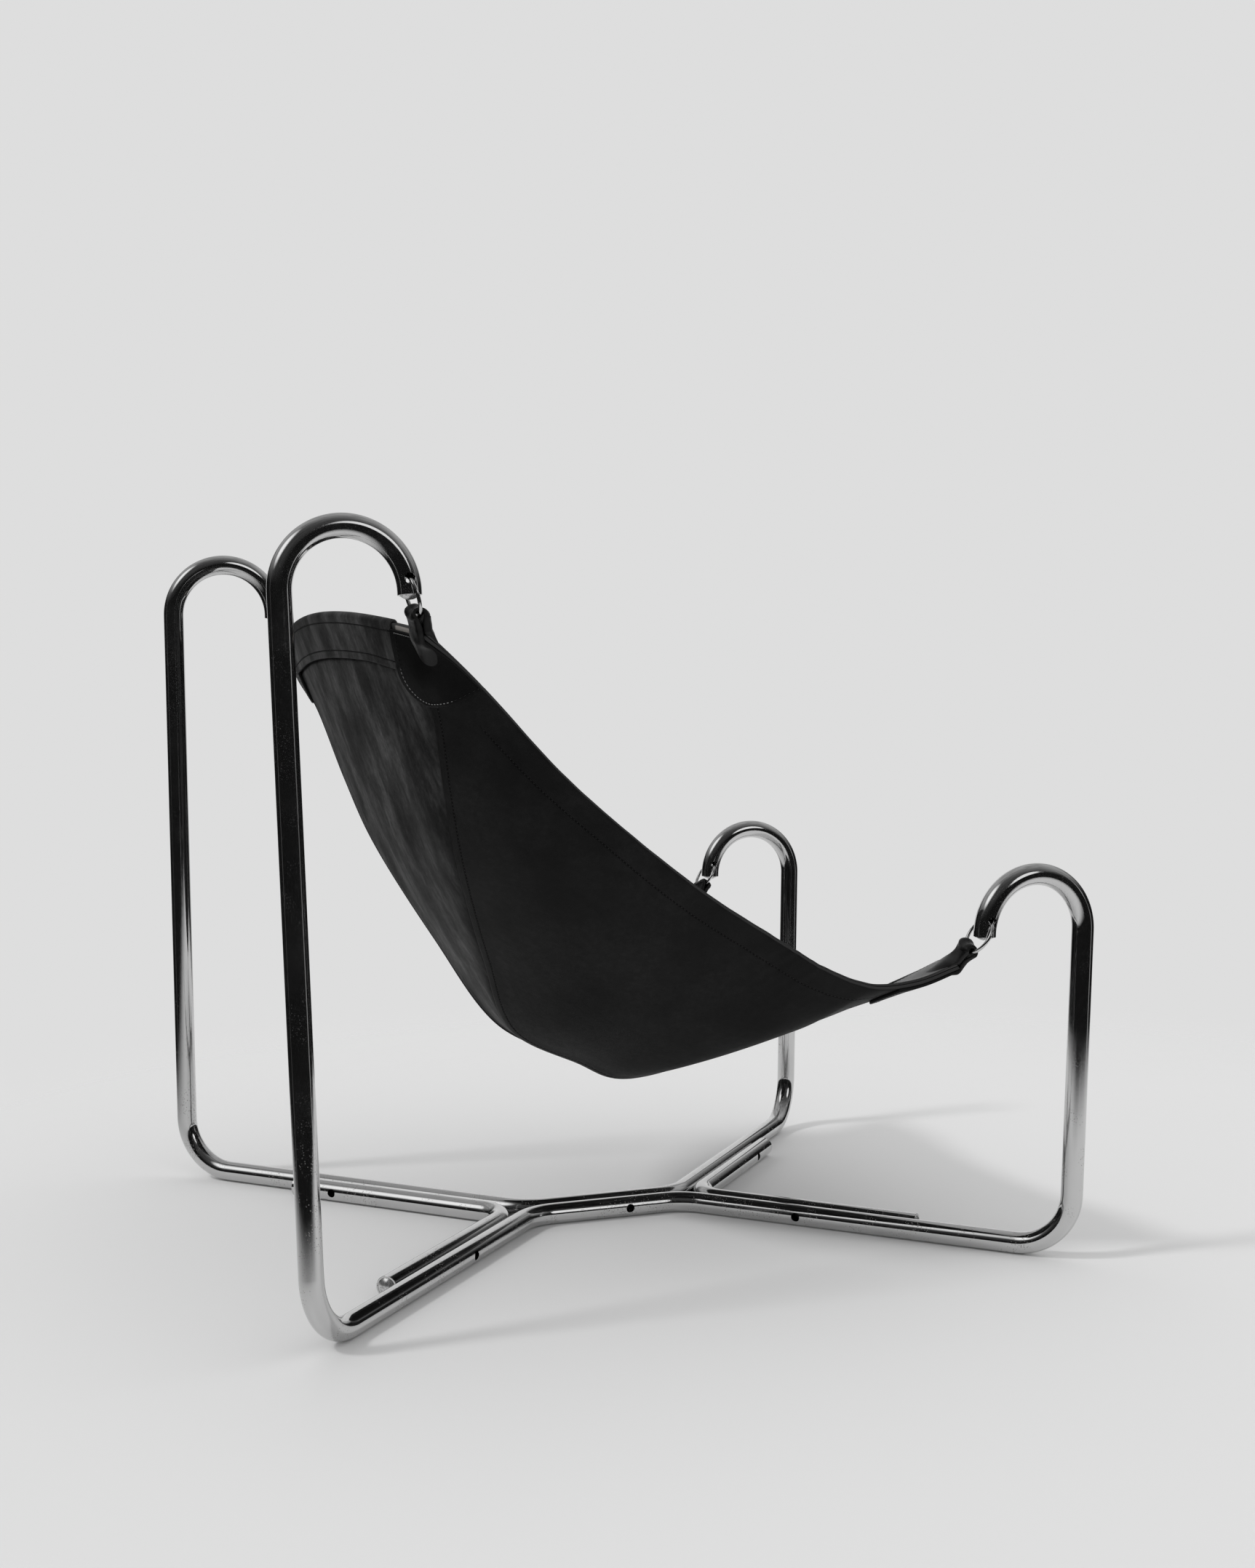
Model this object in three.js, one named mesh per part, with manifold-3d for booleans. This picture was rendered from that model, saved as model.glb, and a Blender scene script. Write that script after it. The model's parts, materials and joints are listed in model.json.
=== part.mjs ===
// Leather sling lounge chair: a frame of bent chromed tube with a leather sling hung from four rings.
// Millimetres, +X towards the chair's front, +Y to its left, +Z up. The origin lies on the floor,
// under the middle of the chair's outline.

import * as THREE from 'three';
import { mergeVertices } from 'three/addons/utils/BufferGeometryUtils.js';
import Module from 'manifold-3d';

const wasm = await Module();
wasm.setup();

// Fits between pieces
const GAP = 0.3; // between pieces that touch
const DRILL_PLAY = 0.3; // between a hole's wall and what passes through it
const RING_PLAY = 0.8; // between a ring and the wall of its cross hole
const LOOP_PLAY = 1.8; // between a ring and the leather that hangs on it
const LOOP_SIDE_PLAY = 2.2; // beside the ring, so that it can swing
const LOOP_GAP = 0.8; // between a loop's neck and the sling's corner

// Tube
const TUBE_DIAMETER = 25;
const TUBE_WALL = 2;
const BEND_RADIUS = 65; // uprights and hooks, at the tube's axis
const FORK_BEND_RADIUS = 65; // where a leg leaves the centre run
const BRACE_BEND_RADIUS = 38;
const TUBE_FACETS = 12; // a multiple of 4, so that a flat lies on the floor
const BORE_FACETS = 8;
const BEND_STEP_DEG = 18;
const HOLE_FACETS = 12;
const FASTENER_FACETS = 8;
const PLUG_FACETS = 16;

// Side frames, at the tube's axis, measured from the middle of the base
const REAR_CORNER_X = 441;
const REAR_CORNER_Y = 378;
const REAR_HEIGHT = 821; // floor to the top of the rear hooks
const REAR_LEAN_BACK_DEG = 1.8;
const REAR_LEAN_OUT_DEG = -3.7;
const REAR_FORK_X = 92;
const FRONT_CORNER_X = 441;
const FRONT_CORNER_Y = 362;
const FRONT_HEIGHT = 460; // floor to the top of the front hooks
const FRONT_LEAN_FORWARD_DEG = 0.7;
const FRONT_LEAN_OUT_DEG = 0.9;
const FRONT_FORK_X = 108;

// V braces, each leg measured from where the two legs' axes cross
const REAR_BRACE_LEG = 309;
const FRONT_BRACE_LEG = 288;
const PLUG_LENGTH = 4;

// Screws and inserts
const SCREW_DIAMETER = 6;
const SCREW_LENGTH = 14;
const SCREW_HEAD_DIAMETER = 10;
const SCREW_HEAD_HEIGHT = 6;
const SOCKET_WIDTH = 5; // across the flats
const SOCKET_DEPTH = 3;
const INSERT_DIAMETER = 9;
const INSERT_LENGTH = 10;
const OUTER_SCREW_INSET = 141; // from the brace's end
const INNER_SCREW_INSET = 60; // from the brace's end
const RUN_SCREW_X = 33;

// Rings
const RING_RADIUS = 20.5; // at the wire's axis
const RING_WIRE = 4;
const RING_HOLE_INSET = 17; // from the hook's end
const REAR_RING_TILT_DEG = 17; // from straight down, towards the middle of the chair
const FRONT_RING_TILT_DEG = 32;

// Leather
const LEATHER = 4; // panels
const TRIM_LEATHER = 3; // hems, patches and loops
const LOOP_WIDTH = 24;
const LOOP_TAIL = 20; // from the ring's wire to the sling's corner
const NECK_SHARE = 0.8; // thickness of the loop's neck, as a share of the roll
const REAR_LOOP_TURN_DEG = 15; // round the ring, towards the middle of the chair
const FRONT_LOOP_TURN_DEG = 25;
const REAR_BAND_HEIGHT = 45;
const ARM_HEM_WIDTH = 32;
const FRONT_HEM_WIDTH = 28;
const REAR_PATCH_WIDTH = 84; // along the sling's end edge, from the arm edge
const REAR_PATCH_LENGTH = 85; // along the arm edge
const FRONT_PATCH_WIDTH = 62;
const FRONT_PATCH_LENGTH = 70;

// Guide points of the sling's right half, from its rear edge to its front edge. A point is [share of
// the way from the rear corner to the front one, inset from the line between them, drop below it].
// full is how far the side panel bellies out, and reach how far along its width the belly lies.
// Insets, drops and full are in thousandths of the line's length, so the sling grows with the frame.
const SLING_ROWS = [
  { arm: [0, 0, 0], seam: [-0.003, 32.8, -8.5], middle: [-0.051, -18.5], full: 0, reach: 0.5 },
  { arm: [0.052, 11.4, 6], seam: [0.019, 52.7, 39.9], middle: [-0.024, 32.8], full: 4.3, reach: 0.5 },
  { arm: [0.115, 24.2, 21], seam: [0.05, 84.1, 78.4], middle: [0.007, 94], full: 11.4, reach: 0.5 },
  { arm: [0.26, 45.6, 70], seam: [0.095, 150.7, 184.6], middle: [0.065, 200.3], full: 25.6, reach: 0.5 },
  { arm: [0.402, 59.8, 98], seam: [0.137, 206.7, 271.5], middle: [0.114, 282.9], full: 37, reach: 0.5 },
  { arm: [0.543, 68.4, 116], seam: [0.232, 332, 392.6], middle: [0.219, 399.8], full: 45.6, reach: 0.5 },
  { arm: [0.66, 74.1, 119], seam: [0.327, 435.9, 486.9], middle: [0.327, 486.9], full: 48.4, reach: 0.5 },
  { arm: [0.718, 74.1, 120], seam: [0.461, 437.5, 472.2], middle: [0.461, 472.2], full: 45, reach: 0.5 },
  { arm: [0.776, 74.1, 120], seam: [0.546, 432.8, 462.6], middle: [0.546, 462.6], full: 39.9, reach: 0.5 },
  { arm: [0.868, 62.7, 103], seam: [0.734, 319.1, 302], middle: [0.743, 329.1], full: 14.2, reach: 0.5 },
  { arm: [0.939, 37, 59.8], seam: [0.917, 255, 142.5], middle: [0.942, 188.1], full: 2.8, reach: 0.4 },
  { arm: [1, 0, 0], seam: [1.051, 203.7, 19.9], middle: [1.081, 72.7], full: -11.4, reach: 0.15 },
];
const SEAM_COLUMN = 0.25; // across the sling, 0 is the right arm edge and 1 the left one
const SIDE_CELLS = 6; // across one side panel
const MAIN_CELLS = 12; // across the main panel
const ROW_CELLS = 24; // along the sling
const COLUMN_STEP = 0.002;
const ROW_STEP = 0.004;

// Finishes
const CHROME = { color: 0xc9cbcd, roughness: 0.12, metalness: 1 };
const PLUG_CHROME = { color: 0xb9bbbd, roughness: 0.25, metalness: 1 };
const DARK_STEEL = { color: 0x2a2a2c, roughness: 0.4, metalness: 0.9 };
const ZINC = { color: 0x9a9c9e, roughness: 0.4, metalness: 0.9 };
const BODY_LEATHER = { color: 0x1d1b1a, roughness: 0.55, metalness: 0 };
const TRIM_FINISH = { color: 0x151414, roughness: 0.5, metalness: 0 };

// Values that follow from the driving dimensions
const TUBE_RADIUS = TUBE_DIAMETER / 2;
const BORE_RADIUS = TUBE_RADIUS - TUBE_WALL;
const BORE_FLAT = BORE_RADIUS * Math.cos(Math.PI / BORE_FACETS);
const AXIS_HEIGHT = TUBE_RADIUS * Math.cos(Math.PI / TUBE_FACETS);
const TUBE_PITCH = TUBE_DIAMETER + GAP; // between tubes that lie side by side
const RUN_Y = TUBE_PITCH / 2;
const HOOK_TIP = PLUG_LENGTH; // straight end after the hook's half turn
const RING_CHORD_HEIGHT = Math.sqrt(RING_RADIUS ** 2 - TUBE_RADIUS ** 2);
const RING_BOW = RING_RADIUS - RING_CHORD_HEIGHT; // of the wire across the tube
const SLANTED_WIRE = (RING_WIRE * RING_RADIUS) / RING_CHORD_HEIGHT; // where it leaves the tube
const RING_HOLE_RADIUS = (RING_BOW + SLANTED_WIRE) / 2 + RING_PLAY;
const STACK = LEATHER / 2 + GAP + TRIM_LEATHER; // half the thickness of the sling at a patch

const UP = new THREE.Vector3(0, 0, 1);
const LEFT = new THREE.Vector3(0, 1, 0);
const LATHE_AXIS = new THREE.Vector3(0, 1, 0);
const MIRROR = new THREE.Vector3(1, -1, 1);
const RIGHT_SIDE = { name: 'right', sign: -1 };
const LEFT_SIDE = { name: 'left', sign: 1 };
const SIDES = [RIGHT_SIDE, LEFT_SIDE];
const radians = THREE.MathUtils.degToRad;

const REAR = {
  name: 'rear',
  sign: -1,
  cornerX: REAR_CORNER_X,
  cornerY: REAR_CORNER_Y,
  height: REAR_HEIGHT,
  leanAway: radians(REAR_LEAN_BACK_DEG),
  leanOut: radians(REAR_LEAN_OUT_DEG),
  forkX: REAR_FORK_X,
  braceLeg: REAR_BRACE_LEG,
  ringTilt: radians(REAR_RING_TILT_DEG),
  loopTurn: radians(REAR_LOOP_TURN_DEG),
};

const FRONT = {
  name: 'front',
  sign: 1,
  cornerX: FRONT_CORNER_X,
  cornerY: FRONT_CORNER_Y,
  height: FRONT_HEIGHT,
  leanAway: radians(FRONT_LEAN_FORWARD_DEG),
  leanOut: radians(FRONT_LEAN_OUT_DEG),
  forkX: FRONT_FORK_X,
  braceLeg: FRONT_BRACE_LEG,
  ringTilt: radians(FRONT_RING_TILT_DEG),
  loopTurn: radians(FRONT_LOOP_TURN_DEG),
};

const ENDS = [REAR, FRONT];

// Small helpers
const at = (x, y, z) => new THREE.Vector3(x, y, z);
const towards = (from, to) => to.clone().sub(from).normalize();
const moved = (point, direction, distance) => point.clone().addScaledVector(direction, distance);
const onSide = (vector, side) => (side.sign < 0 ? vector.clone() : vector.clone().multiply(MIRROR));

/** Closed geometry from points and triangles, turned so that its faces point out. */
function closedGeometry(points, triangles) {
  let volume = 0;
  for (const [a, b, c] of triangles) {
    volume += points[a].dot(points[b].clone().cross(points[c]));
  }
  const ordered = volume > 0 ? triangles : triangles.map(([a, b, c]) => [a, c, b]);
  const geometry = new THREE.BufferGeometry();
  geometry.setFromPoints(points);
  geometry.setIndex(ordered.flat());
  return geometry;
}

/** Round bar: closed rings of points, joined one to the next, with flat ends. */
function bar(rings) {
  const count = rings[0].length;
  const triangles = [];
  for (let i = 0; i + 1 < rings.length; i += 1) {
    for (let k = 0; k < count; k += 1) {
      const a = i * count + k;
      const b = i * count + ((k + 1) % count);
      triangles.push([a, b, b + count], [a, b + count, a + count]);
    }
  }
  const last = (rings.length - 1) * count;
  for (let k = 1; k + 1 < count; k += 1) {
    triangles.push([0, k + 1, k], [last, last + k, last + k + 1]);
  }
  return closedGeometry(rings.flat(), triangles);
}

/** Sheet of even thickness: each section is a line of points on one face and on the other. */
function sheet(sections) {
  const width = sections[0].outer.length;
  const points = sections.flatMap((section) => [...section.outer, ...section.inner]);
  const outer = (i, j) => 2 * i * width + j;
  const inner = (i, j) => outer(i, j) + width;
  const triangles = [];
  const quad = (a, b, c, d) => triangles.push([a, b, c], [a, c, d]);
  const end = sections.length - 1;
  for (let i = 0; i < end; i += 1) {
    for (let j = 0; j + 1 < width; j += 1) {
      quad(outer(i, j), outer(i, j + 1), outer(i + 1, j + 1), outer(i + 1, j));
      quad(inner(i, j), inner(i + 1, j), inner(i + 1, j + 1), inner(i, j + 1));
    }
    quad(outer(i, 0), outer(i + 1, 0), inner(i + 1, 0), inner(i, 0));
    quad(outer(i, width - 1), inner(i, width - 1), inner(i + 1, width - 1), outer(i + 1, width - 1));
  }
  for (let j = 0; j + 1 < width; j += 1) {
    quad(outer(0, j), inner(0, j), inner(0, j + 1), outer(0, j + 1));
    quad(outer(end, j), outer(end, j + 1), inner(end, j + 1), inner(end, j));
  }
  return closedGeometry(points, triangles);
}

/** Solid for joining and cutting, from a closed geometry. */
function solidOf(geometry) {
  const bare = geometry.clone();
  bare.deleteAttribute('normal');
  bare.deleteAttribute('uv');
  const merged = mergeVertices(bare);
  const index = Array.from(merged.index.array);
  const kept = [];
  for (let k = 0; k < index.length; k += 3) {
    const [a, b, c] = index.slice(k, k + 3);
    if (a !== b && b !== c && c !== a) {
      kept.push(a, b, c);
    }
  }
  const mesh = new wasm.Mesh({
    numProp: 3,
    vertProperties: new Float32Array(merged.attributes.position.array),
    triVerts: new Uint32Array(kept),
  });
  return new wasm.Manifold(mesh);
}

/** Geometry from a solid. */
function geometryOf(solid) {
  const mesh = solid.getMesh();
  const geometry = new THREE.BufferGeometry();
  geometry.setAttribute('position', new THREE.BufferAttribute(new Float32Array(mesh.vertProperties), 3));
  geometry.setIndex(new THREE.BufferAttribute(new Uint32Array(mesh.triVerts), 1));
  return geometry;
}

/** Geometry turned from its own axis to a direction and moved to a place. */
function aimed(geometry, ownAxis, direction, place) {
  const turn = new THREE.Quaternion().setFromUnitVectors(ownAxis, direction);
  return geometry.applyQuaternion(turn).translate(place.x, place.y, place.z);
}

/** Round rod from a point along a direction. */
function rod(start, direction, length, radius, facets = HOLE_FACETS) {
  const geometry = new THREE.CylinderGeometry(radius, radius, length, facets);
  return aimed(geometry, LATHE_AXIS, direction, moved(start, direction, length / 2));
}

/** Stations of a path of straight runs joined by round bends: points with their directions. */
function bentPath(corners, radii) {
  const stations = [{ point: corners[0], direction: towards(corners[0], corners[1]) }];
  const add = (point, direction) => {
    if (point.distanceTo(stations.at(-1).point) > GAP) {
      stations.push({ point, direction });
    }
  };
  radii.forEach((radius, i) => {
    const into = towards(corners[i], corners[i + 1]);
    const out = towards(corners[i + 1], corners[i + 2]);
    const turn = into.angleTo(out);
    const axis = into.clone().cross(out).normalize();
    const start = moved(corners[i + 1], into, -radius * Math.tan(turn / 2));
    const centre = moved(start, axis.clone().cross(into), radius);
    const steps = Math.ceil(turn / radians(BEND_STEP_DEG));
    for (let k = 0; k <= steps; k += 1) {
      const angle = (turn * k) / steps;
      const spoke = start.clone().sub(centre).applyAxisAngle(axis, angle);
      add(centre.clone().add(spoke), into.clone().applyAxisAngle(axis, angle));
    }
  });
  add(corners.at(-1), towards(corners.at(-2), corners.at(-1)));
  return stations;
}

/** Gives each station an up direction that doesn't twist, starting from +Z at the base station. */
function carryUp(stations, base) {
  const level = (up, direction) => moved(up, direction, -up.dot(direction)).normalize();
  stations[base].up = level(UP, stations[base].direction);
  for (let i = base + 1; i < stations.length; i += 1) {
    stations[i].up = level(stations[i - 1].up, stations[i].direction);
  }
  for (let i = base - 1; i >= 0; i -= 1) {
    stations[i].up = level(stations[i + 1].up, stations[i].direction);
  }
}

/** Closed ring of points round a station, with a flat facing up and another facing down. */
function ringAt({ point, direction, up }, radius, facets) {
  const side = direction.clone().cross(up);
  return Array.from({ length: facets }, (_, k) => {
    const angle = ((k + 0.5) * 2 * Math.PI) / facets;
    return moved(moved(point, side, radius * Math.cos(angle)), up, radius * Math.sin(angle));
  });
}

/** Hollow tube along stations. */
function tubeSolid(stations) {
  const first = stations[0];
  const last = stations.at(-1);
  const through = [
    { ...first, point: moved(first.point, first.direction, -GAP) },
    ...stations.slice(1, -1),
    { ...last, point: moved(last.point, last.direction, GAP) },
  ];
  const outside = solidOf(bar(stations.map((station) => ringAt(station, TUBE_RADIUS, TUBE_FACETS))));
  const bore = solidOf(bar(through.map((station) => ringAt(station, BORE_RADIUS, BORE_FACETS))));
  return outside.subtract(bore);
}

/** Corners of an upright from its hook's end down to the floor. */
function uprightCorners(end, side) {
  const foot = at(end.sign * end.cornerX, side.sign * end.cornerY, AXIS_HEIGHT);
  const rise = end.height - TUBE_RADIUS - AXIS_HEIGHT;
  const away = end.sign * Math.tan(end.leanAway) * rise;
  const out = side.sign * Math.tan(end.leanOut) * rise;
  const crown = foot.clone().add(at(away, out, rise));
  const up = towards(foot, crown);
  const down = up.clone().negate();
  const inward = at(-end.sign, 0, 0);
  const firstReach = BEND_RADIUS * Math.tan(up.angleTo(inward) / 2);
  const lastReach = BEND_RADIUS * Math.tan(inward.angleTo(down) / 2);
  const over = moved(crown, inward, firstReach + lastReach);
  const tip = moved(over, down, lastReach + HOOK_TIP);
  return [tip, over, crown, foot];
}

/** Where a side frame's tube leaves the centre run. */
function forkPoint(end, side) {
  return at(end.sign * end.forkX, side.sign * RUN_Y, AXIS_HEIGHT);
}

/** Stations of a side frame, from its rear hook to its front hook. */
function sideFramePath(side) {
  const corners = [
    ...uprightCorners(REAR, side),
    forkPoint(REAR, side),
    forkPoint(FRONT, side),
    ...uprightCorners(FRONT, side).reverse(),
  ];
  const upright = [BEND_RADIUS, BEND_RADIUS, BEND_RADIUS];
  const stations = bentPath(corners, [...upright, FORK_BEND_RADIUS, FORK_BEND_RADIUS, ...upright]);
  const middle = stations.findIndex(({ point, direction }) => point.z < TUBE_RADIUS && direction.x > 0.999);
  carryUp(stations, middle);
  return stations;
}

/** The right leg of a V brace: where the legs' axes cross, its direction, and square to it into the fork. */
function braceLeg(end) {
  const fork = forkPoint(end, RIGHT_SIDE);
  const foot = at(end.sign * end.cornerX, -end.cornerY, AXIS_HEIGHT);
  const along = towards(fork, foot);
  const across = at(-end.sign * along.y, end.sign * along.x, 0);
  const beside = moved(fork, across, TUBE_PITCH);
  const apex = moved(beside, along, -beside.y / along.y);
  return { apex, along, across };
}

/** Stations of a V brace, from its right end to its left end. */
function bracePath(end) {
  const { apex, along } = braceLeg(end);
  const rightEnd = moved(apex, along, end.braceLeg);
  const stations = bentPath([rightEnd, apex, onSide(rightEnd, LEFT_SIDE)], [BRACE_BEND_RADIUS]);
  carryUp(stations, 0);
  return stations;
}

/** Point and direction of a path at a distance from one of its ends, looking out of that end. */
function nearEnd(stations, distance) {
  let left = distance;
  for (let i = 0; i + 1 < stations.length; i += 1) {
    const span = stations[i].point.distanceTo(stations[i + 1].point);
    if (left <= span) {
      return stations[i].point.clone().lerp(stations[i + 1].point, left / span);
    }
    left -= span;
  }
  return stations.at(-1).point.clone();
}

/** Every screw: its name, the tube axis point under its head, its direction and the tubes it joins. */
function screwPlan() {
  const plan = [
    {
      name: 'centre_run',
      place: at(RUN_SCREW_X, -RUN_Y, AXIS_HEIGHT),
      direction: LEFT.clone(),
      headTube: 'side_frame_right',
      threadTube: 'side_frame_left',
    },
  ];
  for (const end of ENDS) {
    const { apex, along, across } = braceLeg(end);
    const outer = moved(apex, along, end.braceLeg - OUTER_SCREW_INSET);
    const inner = moved(apex, along, end.braceLeg - INNER_SCREW_INSET);
    for (const side of SIDES) {
      const frame = `side_frame_${side.name}`;
      const brace = `${end.name}_brace`;
      plan.push(
        {
          name: `${end.name}_${side.name}_outer`,
          place: onSide(moved(outer, across, -TUBE_PITCH), side),
          direction: onSide(across, side),
          headTube: frame,
          threadTube: brace,
        },
        {
          name: `${end.name}_${side.name}_inner`,
          place: onSide(inner, side),
          direction: onSide(across, side).negate(),
          headTube: brace,
          threadTube: frame,
        },
      );
    }
  }
  return plan;
}

// A screw's head sits inside its tube, as deep as the round bore lets a flat head go.
const HEAD_SEAT = Math.sqrt(BORE_FLAT ** 2 - (SCREW_HEAD_DIAMETER / 2) ** 2) - GAP;
const INSERT_START = TUBE_PITCH - TUBE_RADIUS + GAP;

/** Cuts the holes of one screw: head access, shank hole and the insert's hole in the next tube. */
function drillForScrew(tubes, { place, direction, headTube, threadTube }) {
  const back = direction.clone().negate();
  const access = rod(place, back, TUBE_DIAMETER, SCREW_HEAD_DIAMETER / 2 + DRILL_PLAY);
  const shank = rod(place, direction, TUBE_RADIUS + GAP / 2, SCREW_DIAMETER / 2 + DRILL_PLAY);
  const nextTube = moved(place, direction, TUBE_RADIUS);
  const seat = rod(nextTube, direction, TUBE_RADIUS, INSERT_DIAMETER / 2 + DRILL_PLAY);
  tubes[headTube] = tubes[headTube].subtract(solidOf(access)).subtract(solidOf(shank));
  tubes[threadTube] = tubes[threadTube].subtract(solidOf(seat));
}

/** Socket-head screw with its head inside the first tube. */
function screwGeometry({ place, direction }) {
  const headRadius = SCREW_HEAD_DIAMETER / 2;
  const profile = [
    [0, HEAD_SEAT - SCREW_HEAD_HEIGHT],
    [headRadius, HEAD_SEAT - SCREW_HEAD_HEIGHT],
    [headRadius, HEAD_SEAT],
    [SCREW_DIAMETER / 2, HEAD_SEAT],
    [SCREW_DIAMETER / 2, HEAD_SEAT + SCREW_LENGTH],
    [0, HEAD_SEAT + SCREW_LENGTH],
  ];
  const body = new THREE.LatheGeometry(profile.map(([r, y]) => new THREE.Vector2(r, y)), FASTENER_FACETS);
  const socketRadius = SOCKET_WIDTH / Math.sqrt(3);
  const socket = new THREE.CylinderGeometry(socketRadius, socketRadius, 2 * SOCKET_DEPTH, 6);
  socket.translate(0, HEAD_SEAT - SCREW_HEAD_HEIGHT, 0);
  const screw = geometryOf(solidOf(body).subtract(solidOf(socket)));
  return aimed(screw, LATHE_AXIS, direction, place);
}

/** Threaded insert in the wall of the second tube. */
function insertGeometry({ place, direction }) {
  const inside = SCREW_DIAMETER / 2 + DRILL_PLAY;
  const outside = INSERT_DIAMETER / 2;
  const profile = [
    [inside, INSERT_START],
    [outside, INSERT_START],
    [outside, INSERT_START + INSERT_LENGTH],
    [inside, INSERT_START + INSERT_LENGTH],
    [inside, INSERT_START],
  ];
  const sleeve = new THREE.LatheGeometry(profile.map(([r, y]) => new THREE.Vector2(r, y)), FASTENER_FACETS);
  return aimed(sleeve, LATHE_AXIS, direction, place);
}

/** Plug that closes a tube at its first station (outSign -1) or its last one (outSign 1), flush with it. */
function plugGeometry({ point, direction }, outSign) {
  const outward = direction.clone().multiplyScalar(outSign);
  return rod(moved(point, outward, -PLUG_LENGTH), outward, PLUG_LENGTH, BORE_FLAT - GAP, PLUG_FACETS);
}

/** Where a ring hangs: its hole, its centre, and the frame of the leather loop on it. */
function hanger(end, side, framePath) {
  const path = end === REAR ? framePath : [...framePath].reverse();
  const hole = nearEnd(path, RING_HOLE_INSET);
  const hang = at(-end.sign * Math.sin(end.ringTilt), 0, -Math.cos(end.ringTilt));
  const centre = moved(hole, hang, RING_RADIUS - RING_BOW / 2);
  const inward = LEFT.clone().multiplyScalar(-side.sign);
  const plane = hang.clone().cross(LEFT);
  const turn = -side.sign * end.loopTurn;
  const pull = hang.clone().applyAxisAngle(plane, turn);
  const across = inward.clone().applyAxisAngle(plane, turn);
  const wire = moved(centre, pull, RING_RADIUS);
  const tail = moved(wire, pull, LOOP_TAIL);
  return {
    hole,
    centre,
    plane,
    pull,
    across,
    wire,
    outerCorner: moved(tail, across, -LOOP_WIDTH / 2),
  };
}

/** Ring of round wire through a hook's cross hole. */
function ringGeometry({ centre, plane }) {
  const ring = new THREE.TorusGeometry(RING_RADIUS, RING_WIRE / 2, 6, 20);
  return aimed(ring, UP, plane, centre);
}

const rightPath = sideFramePath(RIGHT_SIDE);
const REAR_HANGER = hanger(REAR, RIGHT_SIDE, rightPath);
const FRONT_HANGER = hanger(FRONT, RIGHT_SIDE, rightPath);

const SLING_UNIT = REAR_HANGER.outerCorner.distanceTo(FRONT_HANGER.outerCorner) / 1000;

/** Point on the right half of the sling, from a share of the way along, an inset and a drop. */
function hung(share, inset, drop) {
  const line = REAR_HANGER.outerCorner.clone().lerp(FRONT_HANGER.outerCorner, share);
  return at(line.x, line.y + inset * SLING_UNIT, line.z - drop * SLING_UNIT);
}

const armCurve = new THREE.CatmullRomCurve3(SLING_ROWS.map(({ arm }) => hung(...arm)));
const seamCurve = new THREE.CatmullRomCurve3(SLING_ROWS.map(({ seam }) => hung(...seam)));
const middleCurve = new THREE.CatmullRomCurve3(
  SLING_ROWS.map(({ middle: [share, drop] }) => hung(share, 0, drop).setY(0)),
);
const fullnessCurve = new THREE.CatmullRomCurve3(
  SLING_ROWS.map(({ full, reach }) => at(full * SLING_UNIT, reach, 0)),
);

/** Curve across the sling at a row, from the right arm edge through both seams to the left arm edge. */
function crossSection(row) {
  const arm = armCurve.getPoint(row);
  const seam = seamCurve.getPoint(row);
  const middle = middleCurve.getPoint(row);
  const { x: full, y: reach } = fullnessCurve.getPoint(row);
  const before = Math.max(row - ROW_STEP, 0);
  const after = Math.min(row + ROW_STEP, 1);
  const along = armCurve.getPoint(after).add(seamCurve.getPoint(after));
  along.sub(armCurve.getPoint(before)).sub(seamCurve.getPoint(before));
  const outward = along.cross(arm.clone().sub(seam)).normalize();
  const belly = moved(arm.clone().lerp(seam, reach), outward, full);
  const quarter = at(
    THREE.MathUtils.lerp(middle.x, seam.x, 0.25),
    seam.y / 2,
    THREE.MathUtils.lerp(middle.z, seam.z, 0.25),
  );
  const half = [arm, belly, seam, quarter];
  const otherHalf = half.map((point) => point.clone().multiply(MIRROR)).reverse();
  return new THREE.CatmullRomCurve3([...half, middle, ...otherHalf]);
}

const slingPoint = (row, column) => crossSection(row).getPoint(column);

/** Point, outward normal and unit directions of the sling at a row and column. */
function slingFrame(row, column) {
  const rowBefore = Math.max(row - ROW_STEP, 0);
  const rowAfter = Math.min(row + ROW_STEP, 1);
  const columnBefore = Math.max(column - COLUMN_STEP, 0);
  const columnAfter = Math.min(column + COLUMN_STEP, 1);
  const section = crossSection(row);
  const down = slingPoint(rowAfter, column).sub(slingPoint(rowBefore, column));
  const over = section.getPoint(columnAfter).sub(section.getPoint(columnBefore));
  const rowSpeed = down.length() / (rowAfter - rowBefore);
  const columnSpeed = over.length() / (columnAfter - columnBefore);
  const normal = over.clone().cross(down).normalize();
  const point = section.getPoint(column);
  return { point, normal, down: down.normalize(), over: over.normalize(), rowSpeed, columnSpeed };
}

/** Column at a distance from the right arm edge, measured along a row. */
function columnAt(row, distance) {
  const section = crossSection(row);
  let column = 0;
  let walked = 0;
  let step = 0;
  while (walked < distance) {
    step = section.getPoint(column + COLUMN_STEP).distanceTo(section.getPoint(column));
    walked += step;
    column += COLUMN_STEP;
  }
  return column - (COLUMN_STEP * (walked - distance)) / step;
}

const between = THREE.MathUtils.lerp;
const clamp = THREE.MathUtils.clamp;
const evenly = (from, to, cells) => Array.from({ length: cells + 1 }, (_, k) => between(from, to, k / cells));
const rowSpan = (row, column, length) => length / slingFrame(row, column).rowSpeed;
const columnSpan = (row, column, length) => length / slingFrame(row, column).columnSpeed;

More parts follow.
